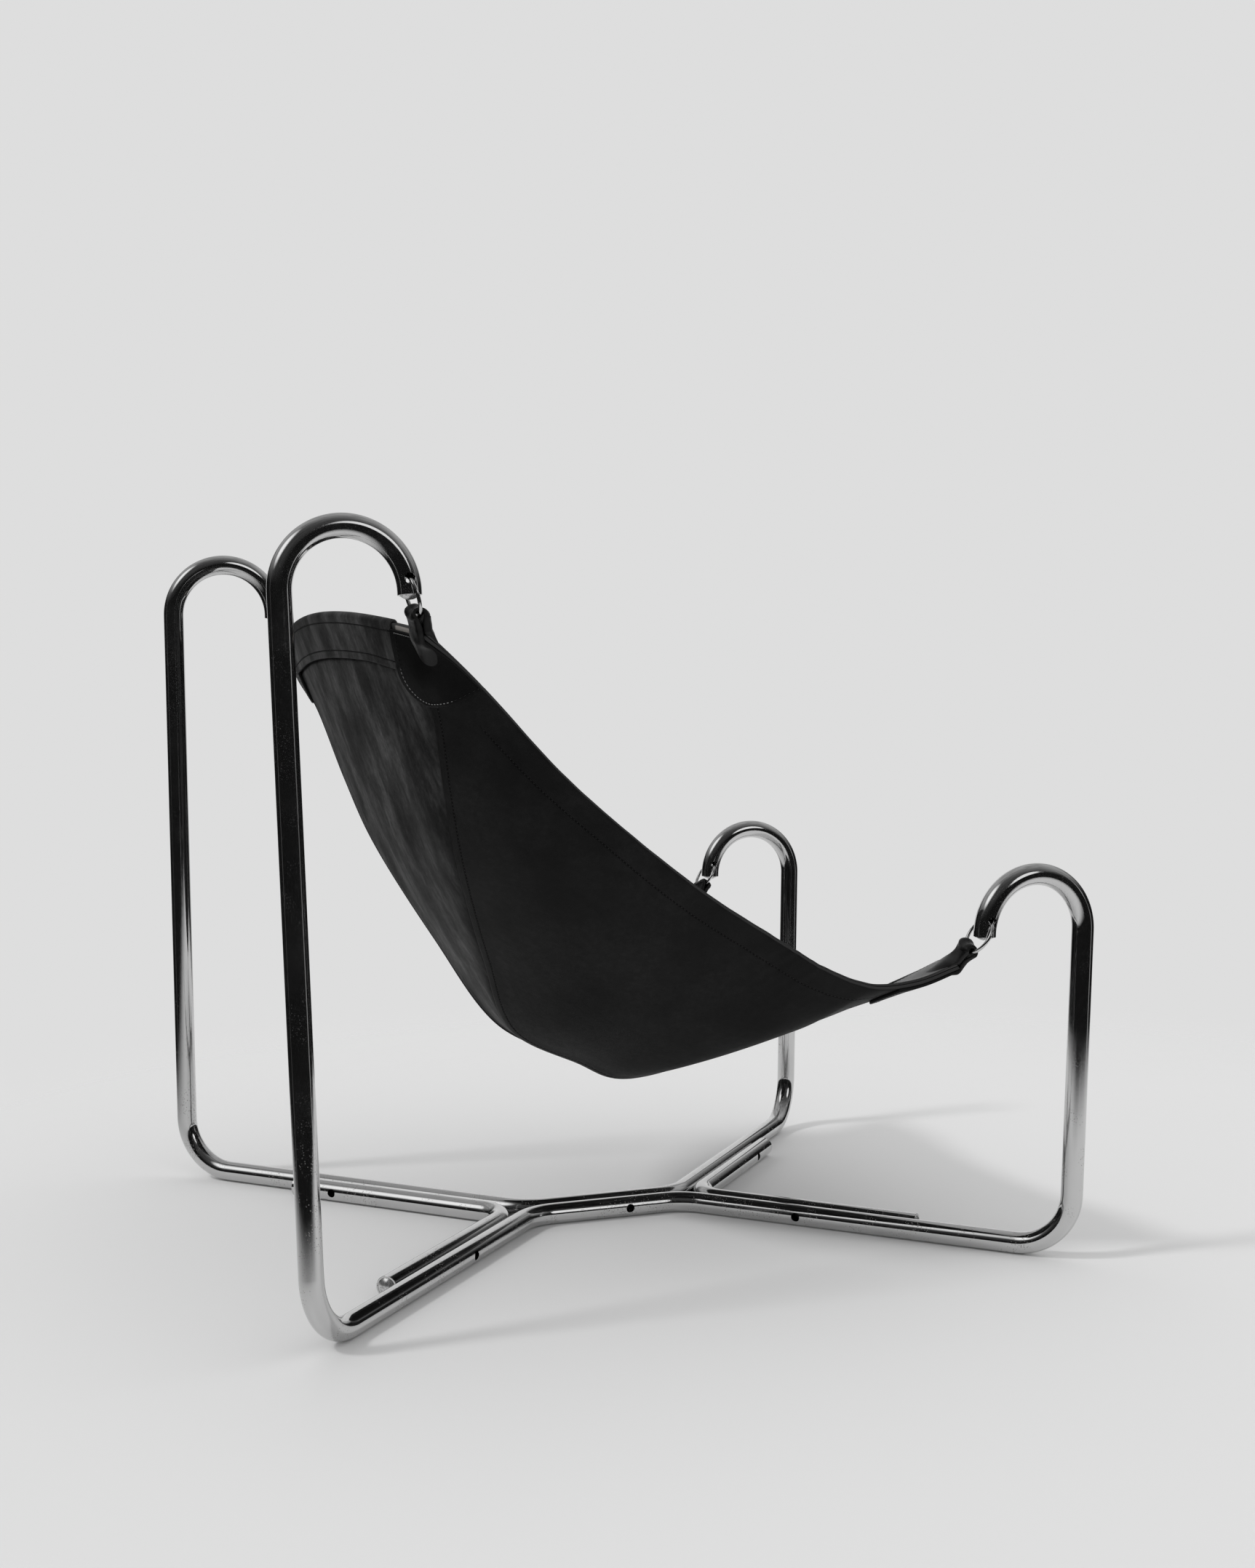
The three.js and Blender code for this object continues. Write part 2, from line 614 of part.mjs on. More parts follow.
// Every layer of the sling takes its points from one lattice, so that neighbouring layers stay parallel.
const ROWS = evenly(0, 1, ROW_CELLS);
const COLUMNS = [
  ...evenly(0, SEAM_COLUMN, SIDE_CELLS),
  ...evenly(SEAM_COLUMN, 1 - SEAM_COLUMN, MAIN_CELLS).slice(1, -1),
  ...evenly(1 - SEAM_COLUMN, 1, SIDE_CELLS),
];
const LATTICE = ROWS.map((row) => COLUMNS.map((column) => slingFrame(row, column)));

/** Cell of a list of lattice lines that holds a value, and the share of the way through that cell. */
function cellOf(lines, value) {
  const after = lines.findIndex((line) => line > value);
  const cell = after < 0 ? lines.length - 2 : after - 1;
  return { cell, share: (value - lines[cell]) / (lines[cell + 1] - lines[cell]) };
}

/** Point of the sling's lattice at an offset from its middle surface. */
function latticePoint(row, column, offset) {
  const { cell: i, share: down } = cellOf(ROWS, row);
  const { cell: j, share: over } = cellOf(COLUMNS, column);
  const corner = (di, dj) => {
    const { point, normal } = LATTICE[i + di][j + dj];
    return moved(point, normal, offset);
  };
  const upper = corner(0, 0).lerp(corner(0, 1), over);
  const lower = corner(1, 0).lerp(corner(1, 1), over);
  return upper.lerp(lower, down);
}

/** Layer of leather over part of the lattice. clip moves a row and column outside that part to its edge. */
function slingLayer(clip, innerOffset, outerOffset) {
  const sections = ROWS.map((row) => {
    const places = COLUMNS.map((column) => clip(row, column));
    return {
      outer: places.map((place) => latticePoint(...place, outerOffset)),
      inner: places.map((place) => latticePoint(...place, innerOffset)),
    };
  });
  return geometryOf(solidOf(sheet(sections)));
}

/** Thin layer on one face of the panels, trimmed so that it follows them at a gap. */
function trimLayer(clip, face) {
  const layer = solidOf(slingLayer(clip, 0, face * STACK));
  return geometryOf(layer.subtract(PANEL_ROOM));
}

/** The same clip for the other side of the chair. */
function clipOn(side, clip) {
  if (side === RIGHT_SIDE) {
    return clip;
  }
  return (row, column) => {
    const [clippedRow, clippedColumn] = clip(row, 1 - column);
    return [clippedRow, 1 - clippedColumn];
  };
}

/** Lattice lines with a line past each end of the sling, as the line's value and its direction out. */
function withBorder(lines) {
  const inner = lines.map((value) => ({ value, past: 0 }));
  const before = lines[0] === 0 ? [{ value: 0, past: -1 }] : [];
  const after = lines.at(-1) === 1 ? [{ value: 1, past: 1 }] : [];
  return [...before, ...inner, ...after];
}

/** Room that the sling takes up on some rows and columns, with margins past its own edges. */
function slingRoom(rows, columns, halfThickness, endMargin, sideMargin) {
  const face = (row, offset) =>
    withBorder(columns).map((column) => {
      const { down, over } = slingFrame(row.value, column.value);
      const point = latticePoint(row.value, column.value, offset);
      return moved(moved(point, down, row.past * endMargin), over, column.past * sideMargin);
    });
  const bothFaces = (row) => ({ outer: face(row, halfThickness), inner: face(row, -halfThickness) });
  return solidOf(sheet(withBorder(rows).map(bothFaces)));
}

const PANEL_ROOM = slingRoom(ROWS, COLUMNS, LEATHER / 2 + GAP, TRIM_LEATHER, TRIM_LEATHER);
const FOLD_ROOM = slingRoom(ROWS, COLUMNS, LEATHER / 2 + GAP, GAP, GAP);
const OUTSIDE = 1;
const INSIDE = -1;

/** Panel of the back and seat, between the two seams. */
function mainPanel() {
  const clip = (row, column) => {
    const edge = SEAM_COLUMN + columnSpan(row, SEAM_COLUMN, GAP / 2);
    return [row, clamp(column, edge, 1 - edge)];
  };
  return slingLayer(clip, -LEATHER / 2, LEATHER / 2);
}

/** Panel between a seam and its arm edge. */
function sidePanel(side) {
  const clip = (row, column) => {
    const edge = SEAM_COLUMN - columnSpan(row, SEAM_COLUMN, GAP / 2);
    return [row, Math.min(column, edge)];
  };
  return slingLayer(clipOn(side, clip), -LEATHER / 2, LEATHER / 2);
}

const REAR_PATCH_COLUMN = columnAt(0, REAR_PATCH_WIDTH);
const FRONT_PATCH_COLUMN = columnAt(1, FRONT_PATCH_WIDTH);
const REAR_PATCH_ROWS = rowSpan(0.1, SEAM_COLUMN / 2, REAR_PATCH_LENGTH);
const FRONT_PATCH_ROWS = rowSpan(0.95, 0, FRONT_PATCH_LENGTH);
const BAND_ROWS = rowSpan(0.05, SEAM_COLUMN, REAR_BAND_HEIGHT);
const FRONT_HEM_ROWS = rowSpan(0.97, 0.5, FRONT_HEM_WIDTH);

/** How many rows a patch reaches at a column: full depth, then a quarter round to its side. */
function patchDepth(column, flatColumn, endColumn, sideRows, fullRows) {
  const share = clamp((column - flatColumn) / (endColumn - flatColumn), 0, 1);
  return sideRows + (fullRows - sideRows) * Math.sqrt(1 - share ** 2);
}

const CORNER_CLIPS = {
  rear: (row, column) => {
    const edge = Math.min(column, REAR_PATCH_COLUMN);
    const depth = patchDepth(edge, SEAM_COLUMN, REAR_PATCH_COLUMN, BAND_ROWS, REAR_PATCH_ROWS);
    return [Math.min(row, depth), edge];
  },
  front: (row, column) => {
    const edge = Math.min(column, FRONT_PATCH_COLUMN);
    const depth = patchDepth(edge, SEAM_COLUMN / 4, FRONT_PATCH_COLUMN, FRONT_HEM_ROWS, FRONT_PATCH_ROWS);
    return [Math.max(row, 1 - depth), edge];
  },
};

/** Patch on the outside of a corner. */
function cornerPatch(end, side) {
  return trimLayer(clipOn(side, CORNER_CLIPS[end.name]), OUTSIDE);
}

/** Lining on the inside of a corner. */
function cornerLining(end, side) {
  return trimLayer(clipOn(side, CORNER_CLIPS[end.name]), INSIDE);
}

/** Band folded over the top edge of the back, from patch to patch. */
function rearBand() {
  const start = REAR_PATCH_COLUMN + columnSpan(0, REAR_PATCH_COLUMN, GAP);
  const inner = COLUMNS.filter((column) => column > start && column < 1 - start);
  const rows = [...ROWS.filter((row) => row < BAND_ROWS), BAND_ROWS].reverse();
  const sections = [start, ...inner, 1 - start].map((column) => {
    const { down } = slingFrame(0, column);
    const fold = (offset, lift) => {
      const face = (sign) =>
        rows.map((row) => moved(latticePoint(row, column, sign * offset), down, row > 0 ? 0 : -lift));
      return [...face(1), ...face(-1).reverse()];
    };
    return { outer: fold(STACK, GAP + TRIM_LEATHER), inner: fold(LEATHER / 2, GAP) };
  });
  return geometryOf(solidOf(sheet(sections)).subtract(FOLD_ROOM));
}

/** Hem turned in along an arm edge, between the corner linings. */
function armHem(side) {
  const start = REAR_PATCH_ROWS + rowSpan(REAR_PATCH_ROWS, 0, GAP);
  const end = 1 - FRONT_PATCH_ROWS - rowSpan(1 - FRONT_PATCH_ROWS, 0, GAP);
  const clip = (row, column) => {
    const level = clamp(row, start, end);
    return [level, Math.min(column, columnAt(level, ARM_HEM_WIDTH))];
  };
  return trimLayer(clipOn(side, clip), INSIDE);
}

/** Hem turned in along the front edge, between the corner linings. */
function frontHem() {
  const start = FRONT_PATCH_COLUMN + columnSpan(1, FRONT_PATCH_COLUMN, GAP);
  const clip = (row, column) => [Math.max(row, 1 - FRONT_HEM_ROWS), clamp(column, start, 1 - start)];
  return trimLayer(clip, INSIDE);
}

/** Leather rolled round a ring, with a neck that runs down to the sling's corner. */
function loopGeometry(end, side) {
  const { pull, across, wire } = end === REAR ? REAR_HANGER : FRONT_HANGER;
  const thick = across.clone().cross(pull);
  const bow = RING_RADIUS - Math.sqrt(RING_RADIUS ** 2 - (LOOP_WIDTH / 2) ** 2);
  const halfTunnel = RING_WIRE / 2 + LOOP_SIDE_PLAY;
  const tunnelBack = -bow - RING_WIRE / 2 - LOOP_PLAY + halfTunnel;
  const halfRoll = halfTunnel + TRIM_LEATHER;
  const roundEnds = (half, back, ahead) => {
    const shape = new THREE.Shape();
    shape.absarc(back, 0, half, Math.PI / 2, (3 * Math.PI) / 2);
    shape.absarc(ahead, 0, half, -Math.PI / 2, Math.PI / 2);
    return shape;
  };
  const prism = (shape, depth) => {
    const geometry = new THREE.ExtrudeGeometry(shape, { depth, bevelEnabled: false, curveSegments: 6 });
    const start = moved(wire, across, -depth / 2);
    return geometry.applyMatrix4(new THREE.Matrix4().makeBasis(pull, thick, across).setPosition(start));
  };
  const roll = prism(roundEnds(halfRoll, tunnelBack, 0), LOOP_WIDTH);
  const tunnel = prism(roundEnds(halfTunnel, tunnelBack, 0), 2 * LOOP_WIDTH);
  const edgeRow = end === REAR ? 0 : 1;
  const lastColumn = columnAt(edgeRow, LOOP_WIDTH);
  const edge = [...COLUMNS.filter((column) => column < lastColumn), lastColumn];
  const rollFoot = moved(wire, pull, halfRoll / 2);
  const facing = Math.sign(LATTICE.at(end === REAR ? 0 : -1)[0].normal.dot(thick));
  const rollFace = (sign) =>
    edge.map((column) => {
      const onFace = moved(rollFoot, thick, sign * facing * NECK_SHARE * halfRoll);
      return moved(onFace, across, LOOP_WIDTH * (column / lastColumn - 0.5));
    });
  const edgeFace = (sign) =>
    edge.map((column) => {
      const point = latticePoint(edgeRow, column, sign * STACK);
      return moved(point, slingFrame(edgeRow, column).down, end.sign * LOOP_GAP);
    });
  const neck = sheet([
    { outer: rollFace(1), inner: rollFace(-1) },
    { outer: edgeFace(1), inner: edgeFace(-1) },
  ]);
  const solid = solidOf(roll).add(solidOf(neck)).subtract(solidOf(tunnel));
  const right = geometryOf(solid);
  if (side === RIGHT_SIDE) {
    return right;
  }
  right.scale(...MIRROR.toArray());
  const triangles = [];
  for (let k = 0; k < right.index.count; k += 3) {
    triangles.push([right.index.getX(k), right.index.getX(k + 1), right.index.getX(k + 2)]);
  }
  const points = [];
  for (let k = 0; k < right.attributes.position.count; k += 1) {
    points.push(new THREE.Vector3().fromBufferAttribute(right.attributes.position, k));
  }
  return closedGeometry(points, triangles);
}

const chair = new THREE.Group();

/** Adds one named piece with its own material. */
function addPiece(name, geometry, finish) {
  const mesh = new THREE.Mesh(geometry, new THREE.MeshStandardMaterial(finish));
  mesh.name = name;
  chair.add(mesh);
}

/** Adds the tubes, with every hole, and the screws and inserts that join them. */
function addFrame(framePaths, bracePaths) {
  const tubes = {};
  for (const side of SIDES) {
    tubes[`side_frame_${side.name}`] = tubeSolid(framePaths[side.name]);
  }
  for (const end of ENDS) {
    tubes[`${end.name}_brace`] = tubeSolid(bracePaths[end.name]);
  }
  const screws = screwPlan();
  screws.forEach((screw) => drillForScrew(tubes, screw));
  for (const side of SIDES) {
    const name = `side_frame_${side.name}`;
    for (const end of ENDS) {
      const { hole } = hanger(end, side, framePaths[side.name]);
      const drill = rod(moved(hole, LEFT, -TUBE_DIAMETER), LEFT, 2 * TUBE_DIAMETER, RING_HOLE_RADIUS);
      tubes[name] = tubes[name].subtract(solidOf(drill));
    }
  }
  for (const [name, solid] of Object.entries(tubes)) {
    addPiece(name, geometryOf(solid), CHROME);
  }
  for (const screw of screws) {
    addPiece(`${screw.name}_screw`, screwGeometry(screw), DARK_STEEL);
    addPiece(`${screw.name}_insert`, insertGeometry(screw), ZINC);
  }
}

/** Adds the plugs in the open ends of the tubes. */
function addPlugs(framePaths, bracePaths) {
  for (const side of SIDES) {
    const path = framePaths[side.name];
    for (const end of ENDS) {
      const hook = plugGeometry(path.at(end === REAR ? 0 : -1), end.sign);
      const brace = plugGeometry(bracePaths[end.name].at(side === RIGHT_SIDE ? 0 : -1), side.sign);
      addPiece(`${end.name}_${side.name}_hook_plug`, hook, PLUG_CHROME);
      addPiece(`${end.name}_${side.name}_brace_plug`, brace, PLUG_CHROME);
    }
  }
}

/** Adds the rings and the leather. */
function addSling(framePaths) {
  addPiece('main_panel', mainPanel(), BODY_LEATHER);
  addPiece('rear_hem_band', rearBand(), BODY_LEATHER);
  addPiece('front_hem', frontHem(), BODY_LEATHER);
  for (const side of SIDES) {
    addPiece(`${side.name}_side_panel`, sidePanel(side), BODY_LEATHER);
    addPiece(`${side.name}_arm_hem`, armHem(side), BODY_LEATHER);
    for (const end of ENDS) {
      const corner = `${end.name}_${side.name}`;
      addPiece(`${corner}_ring`, ringGeometry(hanger(end, side, framePaths[side.name])), CHROME);
      addPiece(`${corner}_loop`, loopGeometry(end, side), TRIM_FINISH);
      addPiece(`${corner}_patch`, cornerPatch(end, side), TRIM_FINISH);
      addPiece(`${corner}_lining`, cornerLining(end, side), TRIM_FINISH);
    }
  }
}

const framePaths = { right: rightPath, left: sideFramePath(LEFT_SIDE) };
const bracePaths = { rear: bracePath(REAR), front: bracePath(FRONT) };
addFrame(framePaths, bracePaths);
addPlugs(framePaths, bracePaths);
addSling(framePaths);

const outline = new THREE.Box3().setFromObject(chair);
chair.position.x = -(outline.min.x + outline.max.x) / 2;

export default chair;
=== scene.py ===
"""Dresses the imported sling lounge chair: chromed tubes, steel rings and screws, stitched leather sling.

Metres, +X to the chair's front, +Y to its left, +Z up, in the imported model's own frame.
"""

import json
import logging
import math
from dataclasses import dataclass, field
from enum import Enum
from typing import Any, Iterable, Sequence

import bpy
import numpy as np
from mathutils import Matrix, Vector


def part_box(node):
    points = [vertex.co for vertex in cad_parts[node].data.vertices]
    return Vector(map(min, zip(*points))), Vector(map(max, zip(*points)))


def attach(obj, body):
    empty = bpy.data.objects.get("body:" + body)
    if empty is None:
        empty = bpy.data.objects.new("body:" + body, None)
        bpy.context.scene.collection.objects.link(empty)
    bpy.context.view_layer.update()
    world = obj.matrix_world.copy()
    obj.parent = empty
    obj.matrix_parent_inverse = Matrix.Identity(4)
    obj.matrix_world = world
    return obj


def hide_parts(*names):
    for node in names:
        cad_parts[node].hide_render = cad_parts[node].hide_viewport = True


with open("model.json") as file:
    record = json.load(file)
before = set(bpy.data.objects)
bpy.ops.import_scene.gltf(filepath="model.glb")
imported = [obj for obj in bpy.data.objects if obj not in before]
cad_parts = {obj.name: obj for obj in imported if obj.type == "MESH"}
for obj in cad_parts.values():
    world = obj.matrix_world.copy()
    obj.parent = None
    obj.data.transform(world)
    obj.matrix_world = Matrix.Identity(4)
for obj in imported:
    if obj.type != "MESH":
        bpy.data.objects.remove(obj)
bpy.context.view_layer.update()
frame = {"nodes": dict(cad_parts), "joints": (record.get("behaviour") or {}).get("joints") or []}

LOG = logging.getLogger("sling_chair")
IMAGE_SIZE = (1725, 2156)
MM = 0.001
GAP = 0.3 * MM
TINY = 1e-12
TUBE_RADIUS = 12.5 * MM
# Rings of points round a cut edge, in degrees from its middle
RIM_ANGLES = (50, 20, -20, -50)
# Level direction in which the photograph looks
VIEW_X, VIEW_Y = 0.375, 0.927
Array = np.ndarray


class Side(Enum):
    """Sides of the chair, with the sign of their y."""

    RIGHT = -1
    LEFT = 1

    @property
    def word(self) -> str:
        """Name of the side as the nodes spell it."""
        return self.name.lower()


class Face(Enum):
    """Faces of the sling, with the sign of their offset."""

    OUTSIDE = 1
    INSIDE = -1


@dataclass(frozen=True)
class End:
    """Sizes of one end of the chair, in metres and degrees."""

    name: str
    sign: int
    corner_x: float
    corner_y: float
    height: float
    lean_away: float
    lean_out: float
    fork_x: float
    brace_leg: float
    ring_tilt: float
    loop_turn: float


REAR = End(
    name="rear",
    sign=-1,
    corner_x=0.441,
    corner_y=0.378,
    height=0.821,
    lean_away=1.8,
    lean_out=-3.7,
    fork_x=0.092,
    brace_leg=0.309,
    ring_tilt=17,
    loop_turn=15,
)
FRONT = End(
    name="front",
    sign=1,
    corner_x=0.441,
    corner_y=0.362,
    height=0.460,
    lean_away=0.7,
    lean_out=0.9,
    fork_x=0.108,
    brace_leg=0.288,
    ring_tilt=32,
    loop_turn=25,
)
ENDS = (REAR, FRONT)


# Numbers


def unit(vector: Array) -> Array:
    """Vectors scaled to length 1."""
    return vector / np.maximum(np.linalg.norm(vector, axis=-1, keepdims=True), TINY)


def angle_between(one: Array, other: Array) -> float:
    """Angle between two directions, in radians."""
    return math.acos(float(np.clip(unit(one) @ unit(other), -1, 1)))


def turned(vector: Array, axis: Array, angle: float) -> Array:
    """Vector turned about an axis by an angle in radians."""
    turn = Matrix.Rotation(angle, 3, Vector(axis))
    return np.array(turn @ Vector(vector))


def smooth(value: Array | float, low: float, high: float) -> Array:
    """Smooth step from 0 at low to 1 at high."""
    share = np.clip((np.asarray(value, float) - low) / (high - low), 0, 1)
    return share * share * (3 - 2 * share)


def mirrored(points: Array, side: Side) -> Array:
    """Points of the right side, moved to a side."""
    return points if side is Side.RIGHT else points * np.array([1, -1, 1])


def curve_at(points: Array, share: Array) -> Array:
    """Points on centripetal Catmull-Rom curves.

    Args:
        points: guide points, one list (n, 3) for all shares or one per share (N, n, 3).
        share: place along each curve, from 0 to 1, with N values.

    Returns:
        N points.
    """
    share = np.asarray(share, float)
    guides = np.broadcast_to(points, (share.size, *points.shape[-2:]))
    count = guides.shape[1]
    place = np.clip(share, 0, 1) * (count - 1)
    cell = np.minimum(place.astype(int), count - 2)
    weight = (place - cell)[:, None]
    first = 2 * guides[:, :1] - guides[:, 1:2]
    last = 2 * guides[:, -1:] - guides[:, -2:-1]
    padded = np.concatenate([first, guides, last], axis=1)
    index = np.arange(share.size)
    p0, p1, p2, p3 = (padded[index, cell + k] for k in range(4))
    pairs = ((p0, p1), (p1, p2), (p2, p3))
    d0, d1, d2 = (np.sqrt(np.maximum(np.linalg.norm(b - a, axis=1), TINY))[:, None] for a, b in pairs)
    t1 = ((p1 - p0) / d0 - (p2 - p0) / (d0 + d1) + (p2 - p1) / d1) * d1
    t2 = ((p2 - p1) / d1 - (p3 - p1) / (d1 + d2) + (p3 - p2) / d2) * d1
    c2 = -3 * p1 + 3 * p2 - 2 * t1 - t2
    c3 = 2 * p1 - 2 * p2 + t1 + t2
    return p1 + weight * (t1 + weight * (c2 + weight * c3))


# Meshes


def linked(name: str, data: bpy.types.ID) -> bpy.types.Object:
    """New object in the scene.

    Args:
        name: the object's name.
        data: its mesh, light or camera.

    Returns:
        The object.
    """
    piece = bpy.data.objects.new(name, data)
    bpy.context.scene.collection.objects.link(piece)
    return piece


@dataclass
class Solid:
    """Mesh under construction: points, faces, and named marks for each point."""

    points: Array
    faces: list[list[int]]
    marks: dict[str, Array] = field(default_factory=dict)

    def outward(self) -> "Solid":
        """The same solid with its faces pointing out.

        Returns:
            This solid.
        """
        volume = 0.0
        for size in {len(face) for face in self.faces}:
            corners = self.points[np.array([face for face in self.faces if len(face) == size])]
            for k in range(1, size - 1):
                a, b, c = corners[:, 0], corners[:, k], corners[:, k + 1]
                volume += float((a * np.cross(b, c)).sum())
        if volume < 0:
            self.faces = [face[::-1] for face in self.faces]
        return self

    def joined(self, other: "Solid") -> "Solid":
        """Points and faces of both solids as one mesh.

        Args:
            other: the solid to add.

        Returns:
            The joined mesh, without marks.
        """
        shift = len(self.points)
        faces = self.faces + [[k + shift for k in face] for face in other.faces]
        return Solid(np.concatenate([self.points, other.points]), faces)

    def to_object(self, name: str) -> bpy.types.Object:
        """Makes a smooth-shaded object.

        Args:
            name: the object's name.

        Returns:
            The linked object.
        """
        mesh = bpy.data.meshes.new(name)
        mesh.from_pydata(self.points.tolist(), [], self.faces)
        mesh.shade_smooth()
        for label, values in self.marks.items():
            mark = mesh.attributes.new(label, "FLOAT", "POINT")
            mark.data.foreach_set("value", values.astype(np.float32))
        mesh.update()
        return linked(name, mesh)


def grid_faces(
    rows: int, columns: int, wrap: bool = False, close: bool = False, start: int = 0
) -> list[list[int]]:
    """Quads of a grid of points, row by row.

    Args:
        rows: number of rows.
        columns: points in each row.
        wrap: whether the last column joins the first.
        close: whether the last row joins the first.
        start: number of the first point.

    Returns:
        The point numbers of each quad.
    """
    faces = []
    for i in range(rows if close else rows - 1):
        here, ahead = start + i * columns, start + (i + 1) % rows * columns
        for j in range(columns if wrap else columns - 1):
            follow = (j + 1) % columns
            faces.append([here + j, here + follow, ahead + follow, ahead + j])
    return faces


def ring_points(centre: Array, axis: Array, up: Array, radius: float, facets: int) -> Array:
    """Circle of points round a centre.

    Args:
        centre: middle of the circle.
        axis: square to its plane.
        up: direction in its plane.
        radius: its radius.
        facets: number of points.

    Returns:
        The points (facets, 3).
    """
    angles = np.arange(facets) * 2 * math.pi / facets
    side = np.cross(axis, up)
    return centre + radius * (np.cos(angles)[:, None] * side + np.sin(angles)[:, None] * up)


def square_to(axis: Array) -> Array:
    """A unit direction square to an axis."""
    spare = np.array([0, 0, 1.0]) if abs(axis[2]) < 0.9 else np.array([1.0, 0, 0])
    return unit(spare - axis * (spare @ axis))


def lathe(profile: Sequence[tuple[float, float]], origin: Array, axis: Array, facets: int) -> Solid:
    """Solid of revolution.

    Args:
        profile: radius and height of each ring; the first and the last ring close on the axis.
        origin: point of the axis at height 0.
        axis: direction of the axis.
        facets: points round a ring.

    Returns:
        The closed solid.
    """
    up = square_to(axis)
    rings = [ring_points(origin + axis * height, axis, up, radius, facets) for radius, height in profile]
    points = np.concatenate([*rings, [origin + axis * profile[0][1]], [origin + axis * profile[-1][1]]])
    faces = grid_faces(len(rings), facets, wrap=True)
    first, last = len(points) - 2, len(points) - 1
    base = (len(rings) - 1) * facets
    for k in range(facets):
        follow = (k + 1) % facets
        faces.append([first, follow, k])
        faces.append([last, base + k, base + follow])
    return Solid(points, faces).outward()


def leather_shell(
    outer: Array,
    inner: Array,
    bulge: float,
    groove: Array | None = None,
    pale: Array | None = None,
) -> Solid:
    """Closed sheet of leather between two grids of points, with rounded cut edges.

    Args:
        outer: points of one face (rows, columns, 3).
        inner: points of the other face.
        bulge: how far the edges round out, as a share of the thickness.
        groove: mark of painted shade on the outer face, in pressed or shaded lines and under edges (rows,
            columns).
        pale: mark of raw leather on the outer face (rows, columns).

    Returns:
        The closed solid, with the marks edge and groove.
    """
    rows, columns = outer.shape[:2]
    border = [(0, j) for j in range(columns - 1)]
    border += [(i, columns - 1) for i in range(rows - 1)]
    border += [(rows - 1, j) for j in range(columns - 1, 0, -1)]
    border += [(i, 0) for i in range(rows - 1, 0, -1)]
    bi, bj = np.array(border).T
    middle = (outer + inner) / 2
    normal = outer - inner
    thick = np.linalg.norm(normal, axis=2, keepdims=True)
    across = (normal / np.maximum(thick, TINY))[bi, bj]
    away = middle[bi, bj] - middle[np.clip(bi, 1, rows - 2), np.clip(bj, 1, columns - 2)]
    away = unit(away - across * (away * across).sum(1, keepdims=True))
    walls = []
    for angle in np.radians(RIM_ANGLES):
        step = across * math.sin(angle) / 2 + away * bulge * math.cos(angle)
        walls.append(middle[bi, bj] + thick[bi, bj] * step)
    count, plain = rows * columns, np.zeros((rows, columns))
    raw = plain if pale is None else pale
    pressed = plain if groove is None else groove
    rim_count = len(border) * len(walls)
    marks = {
        "edge": np.concatenate([raw.ravel(), plain.ravel(), np.ones(rim_count)]),
        "groove": np.concatenate([pressed.ravel(), plain.ravel(), np.zeros(rim_count)]),
    }
    faces = grid_faces(rows, columns)
    faces += [face[::-1] for face in grid_faces(rows, columns, start=count)]
    rim = bi * columns + bj
    loops = [2 * count + k * len(border) + np.arange(len(border)) for k in range(len(walls))]
    loops = [rim, *loops, rim + count]
    for upper, lower in zip(loops, loops[1:]):
        for a, b, c, d in zip(upper, np.roll(upper, -1), np.roll(lower, -1), lower):
            faces.append([int(b), int(a), int(d), int(c)])
    points = np.concatenate([outer.reshape(-1, 3), inner.reshape(-1, 3), *walls])
    return Solid(points, faces, marks).outward()


def smoothed(mesh: bpy.types.Mesh, angle: float) -> None:
    """Shades a mesh smooth, apart from edges past an angle in degrees."""
    mesh.shade_smooth()
    mesh.set_sharp_from_angle(angle=math.radians(angle))


def settled(piece: bpy.types.Object) -> bpy.types.Object:
    """Turns an object's evaluated result into its plain mesh and removes its modifiers.

    Args:
        piece: object with modifiers.

    Returns:
        The same object.
    """
    graph = bpy.context.evaluated_depsgraph_get()
    result = piece.evaluated_get(graph)
    mesh = bpy.data.meshes.new_from_object(result, preserve_all_data_layers=True, depsgraph=graph)
    piece.modifiers.clear()
    piece.data = mesh
    return piece


def discard(piece: bpy.types.Object) -> None:
    """Removes a helper object."""
    bpy.data.objects.remove(piece, do_unlink=True)


# Shader writing


class Shade:
    """A shader socket that takes part in Python expressions."""

    def __init__(self, book: "NodeBook", socket: Any) -> None:
        """Wraps an output socket of a book's tree."""
        self.book = book
        self.socket = socket

    def _math(self, operation: str, one: Any, other: Any) -> "Shade":
        """Adds a Math node for two values."""
        return self.book.node("ShaderNodeMath", {"operation": operation}, {0: one, 1: other}).out(0)

    def __add__(self, other: Any) -> "Shade":
        """Sum."""
        return self._math("ADD", self, other)

    __radd__ = __add__

    def __sub__(self, other: Any) -> "Shade":
        """Difference."""
        return self._math("SUBTRACT", self, other)

    def __rsub__(self, other: Any) -> "Shade":
        """Difference, from a number."""
        return self._math("SUBTRACT", other, self)

    def __mul__(self, other: Any) -> "Shade":
        """Product."""
        return self._math("MULTIPLY", self, other)

    __rmul__ = __mul__

    def __pow__(self, other: Any) -> "Shade":
        """Power."""
        return self._math("POWER", self, other)

    def size(self) -> "Shade":
        """Value without its sign."""
        return self._math("ABSOLUTE", self, 0.0)

    def most(self, other: Any) -> "Shade":
        """The larger of two values."""
        return self._math("MAXIMUM", self, other)

    def ramp(self, low: float, high: float) -> "Shade":
        """Smooth step from 0 at low to 1 at high.

        Args:
            low: value that gives 0.
            high: value that gives 1.

        Returns:
            The stepped value.
        """
        settings = {"interpolation_type": "SMOOTHSTEP"}
        values = {"Value": self, "From Min": low, "From Max": high}
        return self.book.node("ShaderNodeMapRange", settings, values).out("Result")


